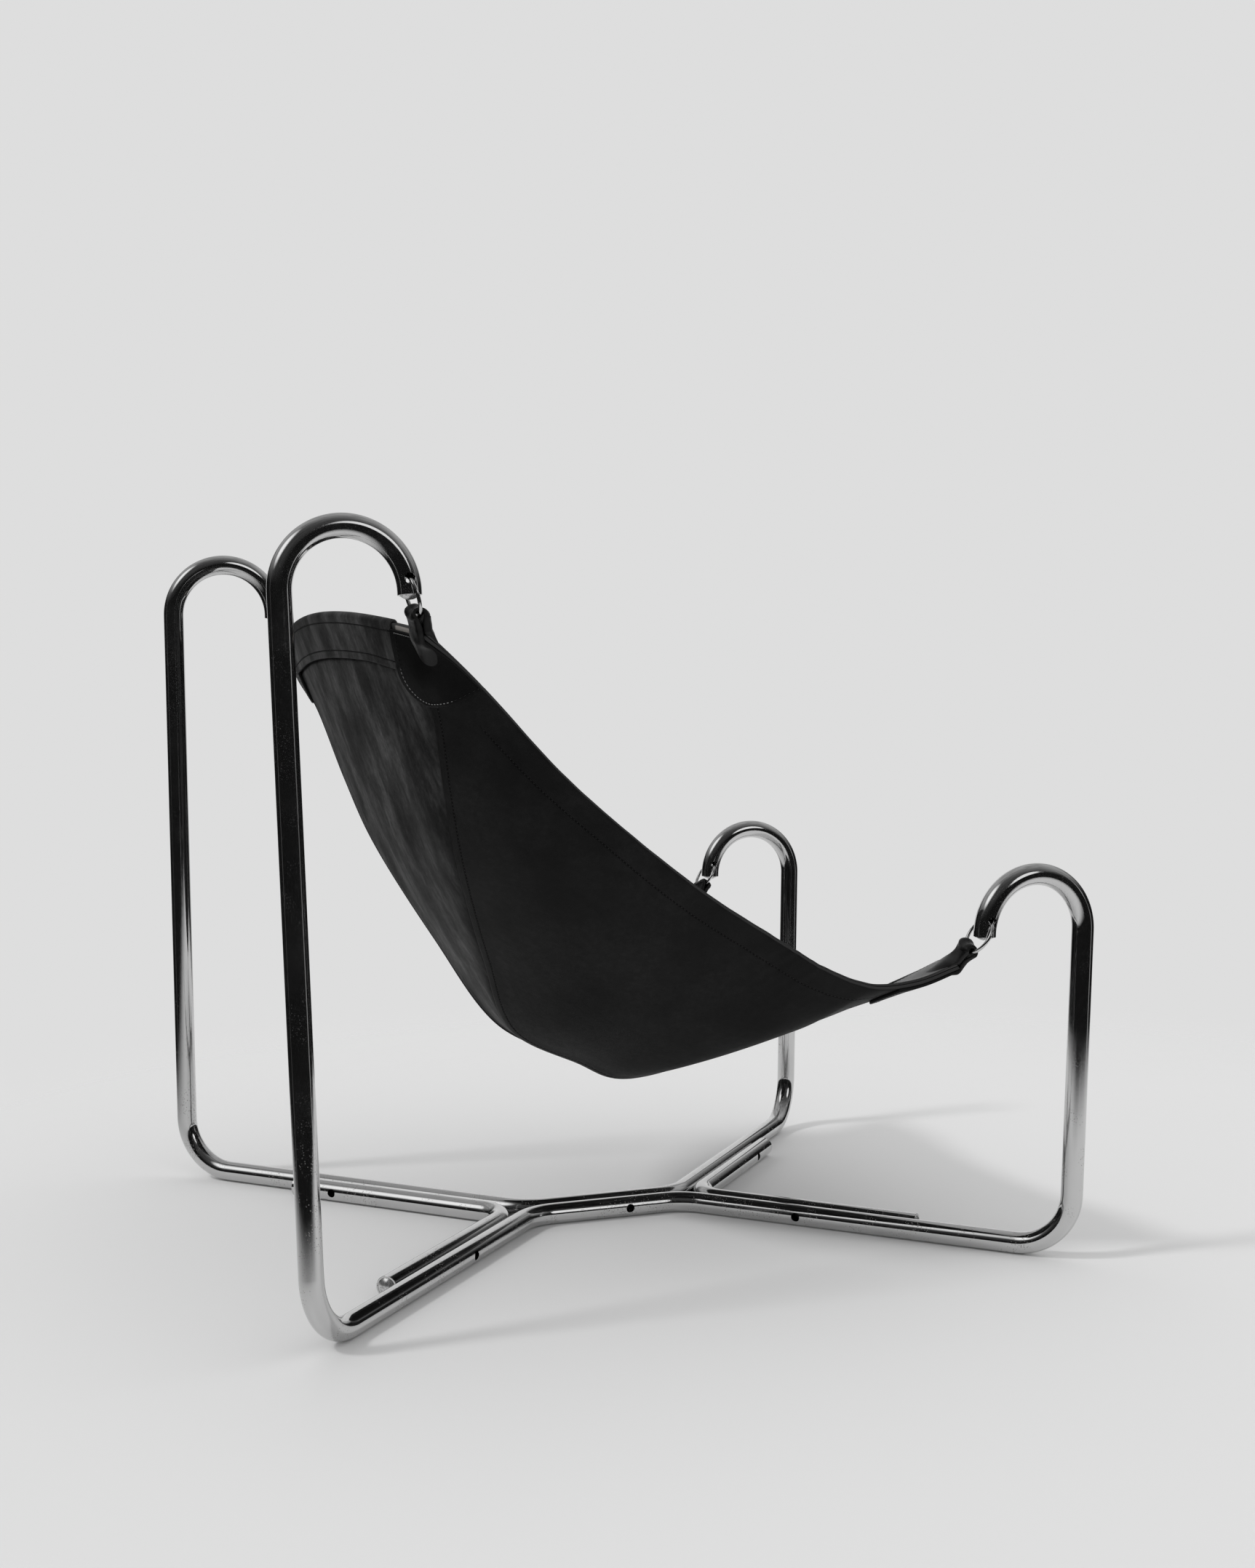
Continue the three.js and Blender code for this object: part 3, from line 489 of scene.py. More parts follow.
class Made:
    """A node just added, whose outputs are read by name or number."""

    def __init__(self, book: "NodeBook", node: bpy.types.Node) -> None:
        """Keeps the node with its book."""
        self.book = book
        self.node = node

    def out(self, key: str | int) -> Shade:
        """Output socket by name or number."""
        return Shade(self.book, self.node.outputs[key])


class NodeBook:
    """Writes the node tree of a material, a world or a modifier."""

    def __init__(self, tree: bpy.types.NodeTree) -> None:
        """Empties the tree."""
        self.tree = tree
        self.tree.nodes.clear()

    def node(self, kind: str, settings: dict[str, Any], values: dict[Any, Any]) -> Made:
        """Adds a node.

        Args:
            kind: the node's type.
            settings: its own settings, set first.
            values: what its sockets get, by name, identifier or number: a number, a colour or a Shade.

        Returns:
            The node, for reading its outputs.
        """
        node = self.tree.nodes.new(kind)
        for name, value in settings.items():
            setattr(node, name, value)
        for key, value in values.items():
            by_identifier = [s for s in node.inputs if s.identifier == key]
            socket = by_identifier[0] if by_identifier else node.inputs[key]
            if isinstance(value, Shade):
                self.tree.links.new(value.socket, socket)
            else:
                socket.default_value = value
        return Made(self, node)

    def mix(self, share: Any, low: Any, high: Any) -> Shade:
        """Colour between two colours.

        Args:
            share: 0 for low, 1 for high.
            low: first colour.
            high: second colour.

        Returns:
            The colour.
        """
        settings = {"data_type": "RGBA", "clamp_factor": True}
        values = {"Factor_Float": share, "A_Color": low, "B_Color": high}
        made = self.node("ShaderNodeMix", settings, values)
        return Shade(self, [s for s in made.node.outputs if s.identifier == "Result_Color"][0])

    def noise(self, vector: Shade, scale: float, detail: float = 2, roughness: float = 0.5) -> Shade:
        """Noise from 0 to 1."""
        values = {"Vector": vector, "Scale": scale, "Detail": detail, "Roughness": roughness}
        return self.node("ShaderNodeTexNoise", {}, values).out(0)

    def cells(self, vector: Shade, scale: float) -> Shade:
        """Distance to the nearest point of a scatter."""
        values = {"Vector": vector, "Scale": scale}
        return self.node("ShaderNodeTexVoronoi", {}, values).out("Distance")

    def stretched(self, vector: Shade, scale: Sequence[float]) -> Shade:
        """Coordinates stretched along their axes."""
        return self.node("ShaderNodeMapping", {}, {"Vector": vector, "Scale": scale}).out(0)

    def sloped(self, vector: Shade, slope: float, size: Sequence[float]) -> Shade:
        """Coordinates in features of a size, whose first axis dips from +X by a slope in degrees."""
        values = {"Vector": vector, "Rotation": (0, math.radians(slope), 0), "Scale": size}
        return self.node("ShaderNodeMapping", {"vector_type": "TEXTURE"}, values).out(0)

    def place(self) -> Shade:
        """Object coordinates."""
        return self.node("ShaderNodeTexCoord", {}, {}).out("Object")

    def mark(self, name: str) -> Shade:
        """Value of a named attribute."""
        return self.node("ShaderNodeAttribute", {"attribute_name": name}, {}).out("Fac")

    def height(self, vector: Shade) -> Shade:
        """Height above the floor, from Object coordinates."""
        return self.node("ShaderNodeSeparateXYZ", {}, {0: vector}).out("Z")

    def bump(self, height: Shade, distance: float, strength: float) -> Shade:
        """Normal from a relief, whose full height is a distance in metres."""
        values = {"Height": height, "Distance": distance, "Strength": strength}
        return self.node("ShaderNodeBump", {}, values).out(0)


def grey(level: float) -> tuple[float, float, float, float]:
    """Neutral colour."""
    return (level, level, level, 1.0)


# Finishes


@dataclass(frozen=True)
class Finish:
    """A finish of the chair or its studio, which becomes a material."""

    name: str

    def write(self, book: NodeBook, place: Shade) -> dict[str, Any]:
        """What the Principled shader's sockets get, by name."""
        raise NotImplementedError

    def material(self) -> bpy.types.Material:
        """Makes the material.

        Returns:
            The material.
        """
        material = bpy.data.materials.new(self.name)
        material.use_nodes = True
        book = NodeBook(material.node_tree)
        shader = book.node("ShaderNodeBsdfPrincipled", {}, self.write(book, book.place()))
        book.node("ShaderNodeOutputMaterial", {}, {"Surface": shader.out(0)})
        return material


@dataclass(frozen=True)
class ChromeFinish(Finish):
    """Old polished chrome: smudges, fine scratches, and rust pits near the floor."""

    name: str = "chrome"
    bright: float = 0.62
    roughness: float = 0.05
    pitting: float = 1.0
    rust: tuple[float, float, float, float] = (0.07, 0.055, 0.045, 1)

    def write(self, book: NodeBook, place: Shade) -> dict[str, Any]:
        """Writes the finish.

        Args:
            book: the material's nodes.
            place: Object coordinates.

        Returns:
            The shader's values, by socket.
        """
        smudge = book.noise(place, 18, 3).ramp(0.42, 0.72)
        haze = book.noise(place, 260, 2).ramp(0.35, 0.8)
        scratch = book.noise(book.stretched(place, (1400, 1400, 30)), 1, 1).ramp(0.62, 0.72)
        low = 1 - book.height(place).ramp(0.02, 0.3)
        patchy = book.noise(place, 34, 2).ramp(0.47, 0.62)
        pits = (1 - book.cells(place, 420).ramp(0.12, 0.3)) * patchy * (low * 0.85 + 0.1) * self.pitting
        tone = book.mix(smudge * 0.25, grey(self.bright), grey(self.bright * 0.8))
        rough = smudge * 0.06 + haze * 0.03 + scratch * 0.04 + pits * 0.45 + self.roughness
        relief = haze * 0.05 + scratch * 0.1 - pits
        return {
            "Base Color": book.mix(pits, tone, self.rust),
            "Metallic": 1 - pits * 0.7,
            "Roughness": rough,
            "Normal": book.bump(relief, 0.00006, 0.6),
        }


@dataclass(frozen=True)
class SteelFinish(Finish):
    """Plain steel: brushed, with a little grime."""

    level: float
    roughness: float

    def write(self, book: NodeBook, place: Shade) -> dict[str, Any]:
        """Writes the finish.

        Args:
            book: the material's nodes.
            place: Object coordinates.

        Returns:
            The shader's values, by socket.
        """
        grime = book.noise(place, 420, 3).ramp(0.4, 0.7)
        return {
            "Base Color": book.mix(grime, grey(self.level), grey(self.level * 0.55)),
            "Metallic": 0.9,
            "Roughness": grime * 0.2 + self.roughness,
            "Normal": book.bump(grime, 0.00004, 0.5),
        }


PLUG_CHROME = SteelFinish("plug_chrome", level=0.66, roughness=0.2)
SCREW_STEEL = SteelFinish("screw_steel", level=0.1, roughness=0.36)
ZINC = SteelFinish("zinc_insert", level=0.45, roughness=0.35)


@dataclass(frozen=True)
class LeatherFinish(Finish):
    """Thick leather, nearly black, with grain, worn streaks down a slope in degrees, paler cut edges, and
    painted shade along its groove mark.
    """

    dark: float = 0.003
    pale: float = 0.072
    streaks: float = 1.0
    roughness: float = 0.56
    grain: float = 1.0
    shine: float = 0.12
    raw: float = 0.035
    bare: float = 0.2
    slope: float = 55.0

    def write(self, book: NodeBook, place: Shade) -> dict[str, Any]:
        """Writes the finish.

        Args:
            book: the material's nodes.
            place: Object coordinates.

        Returns:
            The shader's values, by socket.
        """
        pebble = book.cells(place, 1100)
        pores = book.noise(place, 2600, 2)
        folds = book.noise(place, 160, 4, 0.6)
        cloud = book.noise(place, 11, 4, 0.6).ramp(0.36, 0.68)
        broad = book.noise(book.sloped(place, self.slope, (0.1, 0.042, 0.06)), 1, 5, 0.6).ramp(0.36, 0.7)
        fine = book.sloped(place, self.slope, (0.028, 0.009, 0.018))
        brush = book.noise(fine, 1, 5, 0.72).ramp(0.28, 0.74)
        scuff = book.noise(place, 140, 5, 0.75).ramp(0.36, 0.72)
        streaked = broad * (brush * 0.55 + scuff * 0.25 + 0.2) * self.streaks
        worn = streaked + cloud * (scuff * 0.5 + 0.25) * 0.4
        mark = book.mark("edge")
        edge, bare = mark.ramp(0.2, 0.9), mark.ramp(1.1, 1.9)
        groove = book.mark("groove").ramp(0.0, 0.9)
        body = book.mix(worn * 0.9 + pores * 0.06, grey(self.dark), grey(self.pale))
        # Painted shade: the groove mark darkens the colour in the stitch grooves, under the back band's
        # lower edge and along the lapped seams.
        body_with_painted_shade = book.mix(groove * 0.9, body, grey(self.dark * 0.3))
        cut = book.mix(edge * 0.85, body_with_painted_shade, grey(self.raw))
        rough = worn * -0.1 + folds * 0.14 + groove * 0.25 + edge * 0.15
        return {
            "Base Color": book.mix(bare, cut, (self.bare, self.bare * 0.94, self.bare * 0.88, 1)),
            "Roughness": rough + self.roughness - 0.05,
            "Specular IOR Level": self.shine,
            "Normal": book.bump(pebble * 0.6 + pores * 0.2 + folds * 0.9, 0.00035 * self.grain, 0.55),
        }


PANEL_LEATHER = LeatherFinish("sling_leather")
# Side panel leather: a darker, less streaked copy of the panel leather; the darker colour is painted shade
# on the sides, which face away from the key light.
SHADED_SIDE_LEATHER = LeatherFinish("side_leather", dark=0.0035, pale=0.026, streaks=0.15, roughness=0.52)
TRIM_LEATHER = LeatherFinish(
    "trim_leather", dark=0.002, pale=0.01, streaks=0.2, roughness=0.5, grain=0.7, shine=0.09, raw=0.009
)
LINING_LEATHER = LeatherFinish(
    "lining_leather", dark=0.006, pale=0.03, streaks=0.2, roughness=0.36, grain=0.6, shine=0.7, raw=0.018
)
LOOP_LEATHER = LeatherFinish(
    "loop_leather", dark=0.002, pale=0.01, streaks=0.2, roughness=0.36, grain=0.7, shine=0.28, raw=0.008
)


@dataclass(frozen=True)
class ThreadFinish(Finish):
    """Waxed thread."""

    level: float

    def write(self, book: NodeBook, place: Shade) -> dict[str, Any]:
        """Writes the finish.

        Args:
            book: the material's nodes.
            place: Object coordinates.

        Returns:
            The shader's values, by socket.
        """
        twist = book.noise(place, 1800, 1)
        return {
            "Base Color": book.mix(twist, grey(self.level * 0.6), grey(self.level * 1.3)),
            "Roughness": 0.55,
            "Normal": book.bump(twist, 0.0002, 0.5),
        }


@dataclass(frozen=True)
class FloorFinish(Finish):
    """Pale matt floor that fades into the backdrop round the chair, sooner in front of it."""

    name: str = "pale_floor"
    level: float = 0.8
    near: float = 0.85
    far: float = 1.65
    centre: tuple[float, float, float] = (0.4, 0.0, 0.0)
    front: tuple[float, float] = (-VIEW_X, -VIEW_Y)
    front_near: float = 0.6
    front_far: float = 1.4

    def write(self, book: NodeBook, place: Shade) -> dict[str, Any]:
        """Writes the finish.

        Args:
            book: the material's nodes.
            place: Object coordinates.

        Returns:
            The shader's values, by socket.
        """
        ends = {0: place, 1: self.centre}
        reach = book.node("ShaderNodeVectorMath", {"operation": "DISTANCE"}, ends).out("Value")
        ahead = {0: place, 1: (*self.front, 0.0)}
        front = book.node("ShaderNodeVectorMath", {"operation": "DOT_PRODUCT"}, ahead).out("Value")
        gone = reach.ramp(self.near, self.far).most(front.ramp(self.front_near, self.front_far))
        tone = book.mix(book.noise(place, 0.8, 2), grey(self.level), grey(self.level * 0.97))
        return {"Base Color": tone, "Roughness": 0.8, "Alpha": 1 - gone}


# Repeats


class RepeatNodes:
    """Geometry Nodes that repeat a piece on points or stitches along lines."""

    def __init__(self, name: str, inputs: dict[str, str]) -> None:
        """Starts a tree with a geometry input and output.

        Args:
            name: the tree's name.
            inputs: its other inputs, by name, with the type of each socket.
        """
        self.tree = bpy.data.node_groups.new(name, "GeometryNodeTree")
        self.book = NodeBook(self.tree)
        sockets = self.tree.interface
        for label, kind in {"Geometry": "NodeSocketGeometry", **inputs}.items():
            sockets.new_socket(label, in_out="INPUT", socket_type=kind)
        sockets.new_socket("Geometry", in_out="OUTPUT", socket_type="NodeSocketGeometry")
        self.given = self.book.node("NodeGroupInput", {}, {})

    def aligned(self, axis: str, pivot: str, vector: Shade, rotation: dict[str, Shade]) -> Shade:
        """Rotation that turns an axis of each copy to a vector, after another rotation or none."""
        settings, values = {"axis": axis, "pivot_axis": pivot}, {"Vector": vector, **rotation}
        return self.book.node("FunctionNodeAlignRotationToVector", settings, values).out(0)

    def aim(self) -> Shade:
        """Direction of each point, from the attribute aim."""
        settings = {"data_type": "FLOAT_VECTOR"}
        return self.book.node("GeometryNodeInputNamedAttribute", settings, {"Name": "aim"}).out(0)

    def end(self, points: Shade, piece: Shade, rotation: Shade) -> None:
        """Ends the tree in Realize Instances and Set Material.

        Args:
            points: where the copies go.
            piece: what is copied.
            rotation: how each copy is turned.
        """
        values = {"Points": points, "Instance": piece, "Rotation": rotation}
        copies = self.book.node("GeometryNodeInstanceOnPoints", {}, values)
        real = self.book.node("GeometryNodeRealizeInstances", {}, {0: copies.out(0)})
        values = {"Geometry": real.out(0), "Material": self.given.out("Material")}
        dress = self.book.node("GeometryNodeSetMaterial", {}, values)
        self.book.node("NodeGroupOutput", {}, {0: dress.out(0)})

    @classmethod
    def pieces(cls) -> "RepeatNodes":
        """Tree that puts a copy of an object on each point, its Z along the point's aim.

        Returns:
            The tree, with the inputs Piece and Material.
        """
        nodes = cls("piece_on_points", {"Piece": "NodeSocketObject", "Material": "NodeSocketMaterial"})
        info = nodes.book.node("GeometryNodeObjectInfo", {}, {"Object": nodes.given.out("Piece")})
        turn = nodes.aligned("Z", "AUTO", nodes.aim(), {})
        nodes.end(nodes.given.out("Geometry"), info.out("Geometry"), turn)
        return nodes

    @classmethod
    def stitches(cls) -> "RepeatNodes":
        """Tree that lays stitches along lines, each flat on the leather.

        Returns:
            The tree, with the inputs Pitch, Size and Material.
        """
        inputs = {"Pitch": "NodeSocketFloat", "Size": "NodeSocketVector", "Material": "NodeSocketMaterial"}
        nodes = cls("stitches_on_lines", inputs)
        book, given = nodes.book, nodes.given
        curve = book.node("GeometryNodeMeshToCurve", {}, {0: given.out("Geometry")})
        values = {"Curve": curve.out(0), "Length": given.out("Pitch")}
        even = book.node("GeometryNodeResampleCurve", {"mode": "LENGTH"}, values)
        bead = book.node("GeometryNodeMeshUVSphere", {}, {"Segments": 6, "Rings": 5, "Radius": 0.5})
        values = {"Geometry": bead.out("Mesh"), "Scale": given.out("Size")}
        shape = book.node("GeometryNodeTransform", {}, values)
        tangent = book.node("GeometryNodeInputTangent", {}, {})
        along = nodes.aligned("X", "AUTO", tangent.out(0), {})
        lying = nodes.aligned("Z", "X", nodes.aim(), {"Rotation": along})
        nodes.end(even.out(0), shape.out(0), lying)
        return nodes

    def run(self, piece: bpy.types.Object, values: dict[str, Any]) -> bpy.types.Object:
        """Runs the tree on an object and keeps the result as its plain mesh.

        Args:
            piece: object that holds the points or lines.
            values: the tree's named inputs.

        Returns:
            The same object, with the result as its mesh.
        """
        modifier = piece.modifiers.new(self.tree.name, "NODES")
        modifier.node_group = self.tree
        sockets = {s.name: s.identifier for s in self.tree.interface.items_tree if s.in_out == "INPUT"}
        for label, value in values.items():
            modifier[sockets[label]] = value
        return settled(piece)


def aimed_points(
    name: str, points: Array, aims: Array, edges: Sequence[tuple[int, int]] = ()
) -> bpy.types.Object:
    """Object of loose points or lines, with the direction of each point in the attribute aim.

    Args:
        name: the object's name.
        points: the points (n, 3).
        aims: a direction for each point.
        edges: pairs of points that lines join.

    Returns:
        The linked object.
    """
    mesh = bpy.data.meshes.new(name)
    mesh.from_pydata(points.tolist(), list(edges), [])
    aim = mesh.attributes.new("aim", "FLOAT_VECTOR", "POINT")
    aim.data.foreach_set("vector", aims.astype(np.float32).ravel())
    return linked(name, mesh)


def dressed(
    piece: bpy.types.Object,
    material: bpy.types.Material | None,
    body: str,
    nodes: Iterable[str],
) -> bpy.types.Object:
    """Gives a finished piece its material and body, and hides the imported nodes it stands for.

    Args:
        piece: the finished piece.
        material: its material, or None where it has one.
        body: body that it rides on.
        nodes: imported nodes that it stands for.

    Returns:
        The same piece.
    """
    if material is not None:
        piece.data.materials.clear()
        piece.data.materials.append(material)
    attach(piece, body)
    names = list(nodes)
    if names:
        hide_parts(*names)
    LOG.info("%s: %d faces on %s", piece.name, len(piece.data.polygons), body)
    return piece


# Frame


@dataclass
class Path:
    """Line of a bent tube: points, directions and an up direction at each."""

    points: Array
    along: Array
    up: Array


@dataclass(frozen=True)
class Screw:
    """One screw: its name, the tube axis point under its head, its direction and the tubes it joins."""

    name: str
    place: Array
    aim: Array
    head_tube: str
    thread_tube: str


@dataclass
class TubeFrame:
    """Side frames and V braces of chromed tube, with their plugs and screws."""

    radius: float = TUBE_RADIUS
    wall: float = 2 * MM
    bend: float = 65 * MM
    brace_bend: float = 38 * MM
    plug_length: float = 4 * MM
    plug_dome: float = 4.2 * MM
    plug_play: float = 0.2 * MM
    plug_rim: float = 0.4 * MM
    chamfer: float = 0.35 * MM
    facets: int = 56
    tube_sharp: float = 35
    small_sharp: float = 38
    batch: int = 4000
    bend_step: float = 3.0
    run_step: float = 9 * MM
    screw_radius: float = 3 * MM
    screw_length: float = 14 * MM
    head_radius: float = 5 * MM
    head_height: float = 6 * MM
    socket_width: float = 5 * MM
    socket_depth: float = 3 * MM
    socket_cone: float = 0.8 * MM
    socket_rim: float = 0.3 * MM
    screw_bevel: float = 0.5 * MM
    small_facets: int = 40
    insert_radius: float = 4.5 * MM
    drill_play: float = 0.3 * MM
    outer_inset: float = 141 * MM
    inner_inset: float = 60 * MM
    run_screw_x: float = 33 * MM
    ring_hole: float = 5.6 * MM
    packed_sides: int = 12
    packed_bore_sides: int = 8
    shift: float = field(init=False)

    def __post_init__(self) -> None:
        """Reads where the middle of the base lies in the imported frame."""
        low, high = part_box("centre_run_insert")
        self.shift = (low.x + high.x) / 2 - self.run_screw_x

    @property
    def axis(self) -> float:
        """Height of the base tubes' axes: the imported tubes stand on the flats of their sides."""
        return self.radius * math.cos(math.pi / self.packed_sides)

    @property
    def pitch(self) -> float:
        """Distance between tubes that lie side by side."""
        return 2 * self.radius + GAP

    def upright(self, end: End, side: Side) -> list[Array]:
        """Corners of an upright, from its hook's end down to the floor.

        Args:
            end: the chair's end.
            side: the chair's side.

        Returns:
            Four points of the tube's axis.
        """
        foot = np.array([end.sign * end.corner_x, side.value * end.corner_y, self.axis])
        rise = end.height - self.radius - self.axis
        away = end.sign * math.tan(math.radians(end.lean_away)) * rise
        out = side.value * math.tan(math.radians(end.lean_out)) * rise
        crown = foot + np.array([away, out, rise])
        up, inward = unit(crown - foot), np.array([-end.sign, 0.0, 0.0])
        first = self.bend * math.tan(angle_between(up, inward) / 2)
        last = self.bend * math.tan(angle_between(inward, -up) / 2)
        over = crown + inward * (first + last)
        return [over - up * (last + self.plug_length), over, crown, foot]

    def fork(self, end: End, side: Side) -> Array:
        """Where a side frame's tube leaves the centre run."""
        return np.array([end.sign * end.fork_x, side.value * self.pitch / 2, self.axis])

    def brace_leg(self, end: End) -> tuple[Array, Array, Array]:
        """Right leg of a V brace: where the legs' axes cross, its direction, and square to it into the fork.

        Args:
            end: the chair's end.

        Returns:
            The crossing and the two directions.
        """
        fork = self.fork(end, Side.RIGHT)
        along = unit(np.array([end.sign * end.corner_x, -end.corner_y, self.axis]) - fork)
        across = np.array([-end.sign * along[1], end.sign * along[0], 0])
        beside = fork + across * self.pitch
        return beside - along * (beside[1] / along[1]), along, across

    def path(self, corners: Sequence[Array], radii: Sequence[float]) -> Path:
        """Fine path of straight runs joined by round bends.

        Args:
            corners: where the straight runs' axes meet, with both ends.
            radii: bend radius at each inner corner.

        Returns:
            The path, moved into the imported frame.
        """
        points, along = [np.array(corners[0])], [unit(corners[1] - corners[0])]

        def run_to(target: Array, direction: Array) -> None:
            """Adds even steps along a straight run.

            Args:
                target: end of the run.
                direction: its direction.
            """
            steps = max(1, math.ceil(float(np.linalg.norm(target - points[-1])) / self.run_step))
            start = points[-1]
            for k in range(1, steps + 1):
                points.append(start + (target - start) * k / steps)
                along.append(direction)

        for i, radius in enumerate(radii):
            into, out = unit(corners[i + 1] - corners[i]), unit(corners[i + 2] - corners[i + 1])
            turn = angle_between(into, out)
            axis = unit(np.cross(into, out))
            start = corners[i + 1] - into * radius * math.tan(turn / 2)
            centre = start + np.cross(axis, into) * radius
            if np.linalg.norm(start - points[-1]) > GAP:
                run_to(start, into)
            steps = math.ceil(math.degrees(turn) / self.bend_step)
            for k in range(1, steps + 1):
                points.append(centre + turned(start - centre, axis, turn * k / steps))
                along.append(turned(into, axis, turn * k / steps))
        run_to(np.array(corners[-1]), unit(corners[-1] - corners[-2]))
        line, ways = np.array(points) + [self.shift, 0, 0], np.array(along)
        # The up directions start on the level run at the floor and are carried both ways from there.
        base = int(np.argmin(line[:, 2] + 10 * np.abs(ways[:, 1])))
        ups = np.zeros_like(line)
        ups[base] = [0, 0, 1]
        for order in (range(base + 1, len(line)), range(base - 1, -1, -1)):
            step = 1 if order.step > 0 else -1
            for k in order:
                before = ups[k - step]
                ups[k] = unit(before - ways[k] * (before @ ways[k]))
        return Path(line, ways, ups)

    def side_path(self, side: Side) -> Path:
        """Path of a side frame, from its rear hook to its front hook.

        Args:
            side: the chair's side.

        Returns:
            The path.
        """
        corners = [
            *self.upright(REAR, side),
            self.fork(REAR, side),
            self.fork(FRONT, side),
            *self.upright(FRONT, side)[::-1],
        ]
        return self.path(corners, [self.bend] * 8)

    def brace_path(self, end: End) -> Path:
        """Path of a V brace, from its right end to its left end.

        Args:
            end: the chair's end.

        Returns:
            The path.
        """
        apex, along, _ = self.brace_leg(end)
        tip = apex + along * end.brace_leg
        return self.path([tip, apex, mirrored(tip, Side.LEFT)], [self.brace_bend])

    def screws(self) -> list[Screw]:
        """Every screw of the base.

        Returns:
            The screws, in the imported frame.
        """
        move = np.array([self.shift, 0, 0])
        place = np.array([self.run_screw_x, -self.pitch / 2, self.axis]) + move
        plan = [Screw("centre_run", place, np.array([0, 1.0, 0]), "side_frame_right", "side_frame_left")]
        for end in ENDS:
            apex, along, across = self.brace_leg(end)
            outer = apex + along * (end.brace_leg - self.outer_inset) - across * self.pitch
            inner = apex + along * (end.brace_leg - self.inner_inset)
            for side in Side:
                name = f"{end.name}_{side.word}"
                tube, brace = f"side_frame_{side.word}", f"{end.name}_brace"
                aim = mirrored(across, side)
                plan.append(Screw(f"{name}_outer", mirrored(outer, side) + move, aim, tube, brace))
                plan.append(Screw(f"{name}_inner", mirrored(inner, side) + move, -aim, brace, tube))
        return plan

    def tube(self, path: Path) -> Solid:
        """Hollow tube along a path, with its outer ends broken.

        Args:
            path: the tube's path.

        Returns:
            The tube, closed at its ends' rims.
        """
        last = len(path.points) - 1
        outer, inner = self.radius, self.radius - self.wall

        def ring(k: int, radius: float, ahead: float = 0.0) -> Array:
            """Ring of points round one station."""
            along = path.along[k]
            return ring_points(path.points[k] + along * ahead, along, path.up[k], radius, self.facets)

        rings = [ring(0, outer - self.chamfer), ring(0, outer, self.chamfer)]
        rings += [ring(k, outer) for k in range(1, last)]
        rings += [ring(last, outer, -self.chamfer), ring(last, outer - self.chamfer), ring(last, inner)]
        rings += [ring(k, inner) for k in range(last - 1, -1, -1)]
        faces = grid_faces(len(rings), self.facets, wrap=True, close=True)
        return Solid(np.concatenate(rings), faces).outward()

    def holes(self, tube: str) -> Solid:
        """Drills for one tube: screw heads, shanks, inserts and ring holes.

        Args:
            tube: name of the tube's node.

        Returns:
            The drills as one mesh.
        """
        drills: list[Solid] = []

        def drill(start: Array, aim: Array, length: float, radius: float) -> None:
            """Adds one round drill."""
            drills.append(lathe([(radius, 0), (radius, length)], start, aim, self.small_facets))

        for screw in self.screws():
            if screw.head_tube == tube:
                drill(screw.place, -screw.aim, 2 * self.radius, self.head_radius + self.drill_play)
                start, length = screw.place + screw.aim * MM, self.radius - MM + GAP / 2
                drill(start, screw.aim, length, self.screw_radius + self.drill_play)
            if screw.thread_tube == tube:
                start = screw.place + screw.aim * self.radius
                drill(start, screw.aim, self.radius, self.insert_radius + self.drill_play)
        for joint in frame["joints"]:
            words = joint["name"].split("_")
            if words[-2:] == ["ring", "swing"] and tube == f"side_frame_{words[1]}":
                start = np.array(joint["pos_m"]) - [0, 2 * self.radius, 0]
                drill(start, np.array([0, 1.0, 0]), 4 * self.radius, self.ring_hole)
        joined = drills[0]
        for other in drills[1:]:
            joined = joined.joined(other)
        return joined

    def round_normals(self, mesh: bpy.types.Mesh, path: Path) -> None:
        """Sets the normals of a tube's walls from its axis, so that the chrome stays smooth round the holes.

        Args:
            mesh: the drilled tube.
            path: the tube's path.
        """
        count = len(mesh.vertices)
        spots = np.zeros(count * 3, np.float32)
        mesh.vertices.foreach_get("co", spots)
        spots = spots.reshape(-1, 3).astype(float)
        radial = np.zeros_like(spots)
        for start in range(0, count, self.batch):
            part = spots[start : start + self.batch]
            near = ((part[:, None, :] - path.points[None, :, :]) ** 2).sum(2).argmin(1)
            gone = part - path.points[near]
            ahead = (gone * path.along[near]).sum(1) >= 0
            other = np.clip(np.where(ahead, near + 1, near - 1), 0, len(path.points) - 1)
            step = path.points[other] - path.points[near]
            share = (gone * step).sum(1) / np.maximum((step**2).sum(1), MM**2)
            share = np.clip(share, 0, 1)[:, None]
            gone = gone - step * share
            ways = unit(path.along[near] * (1 - share) + path.along[other] * share)
            radial[start : start + self.batch] = gone - ways * (gone * ways).sum(1, keepdims=True)
        reach = np.linalg.norm(radial, axis=1)
        normals = np.zeros((len(mesh.loops), 3))
        skin = self.wall / 6
        for face in mesh.polygons:
            corners = list(face.vertices)
            mean = float(reach[corners].mean())
            spread = float(np.ptp(reach[corners]))
            if spread < skin and mean > self.radius - skin:
                normals[face.loop_indices] = radial[corners] / reach[corners][:, None]
            elif spread < skin and mean < self.radius - self.wall + skin:
                normals[face.loop_indices] = -radial[corners] / reach[corners][:, None]
        mesh.normals_split_custom_set(normals.tolist())

    def drilled(self, name: str, path: Path) -> bpy.types.Object:
        """Tube with its holes cut.

        Args:
            name: name of the tube's node.
            path: the tube's path.

        Returns:
            The tube as an object.
        """
        piece = self.tube(path).to_object(f"{name}_tube")
        cutter = self.holes(name).to_object(f"{name}_drills")
        cut = piece.modifiers.new("drill", "BOOLEAN")
        cut.operation, cut.solver, cut.object = "DIFFERENCE", "EXACT", cutter
        settled(piece)
        discard(cutter)
        smoothed(piece.data, self.tube_sharp)
        self.round_normals(piece.data, path)
        return piece

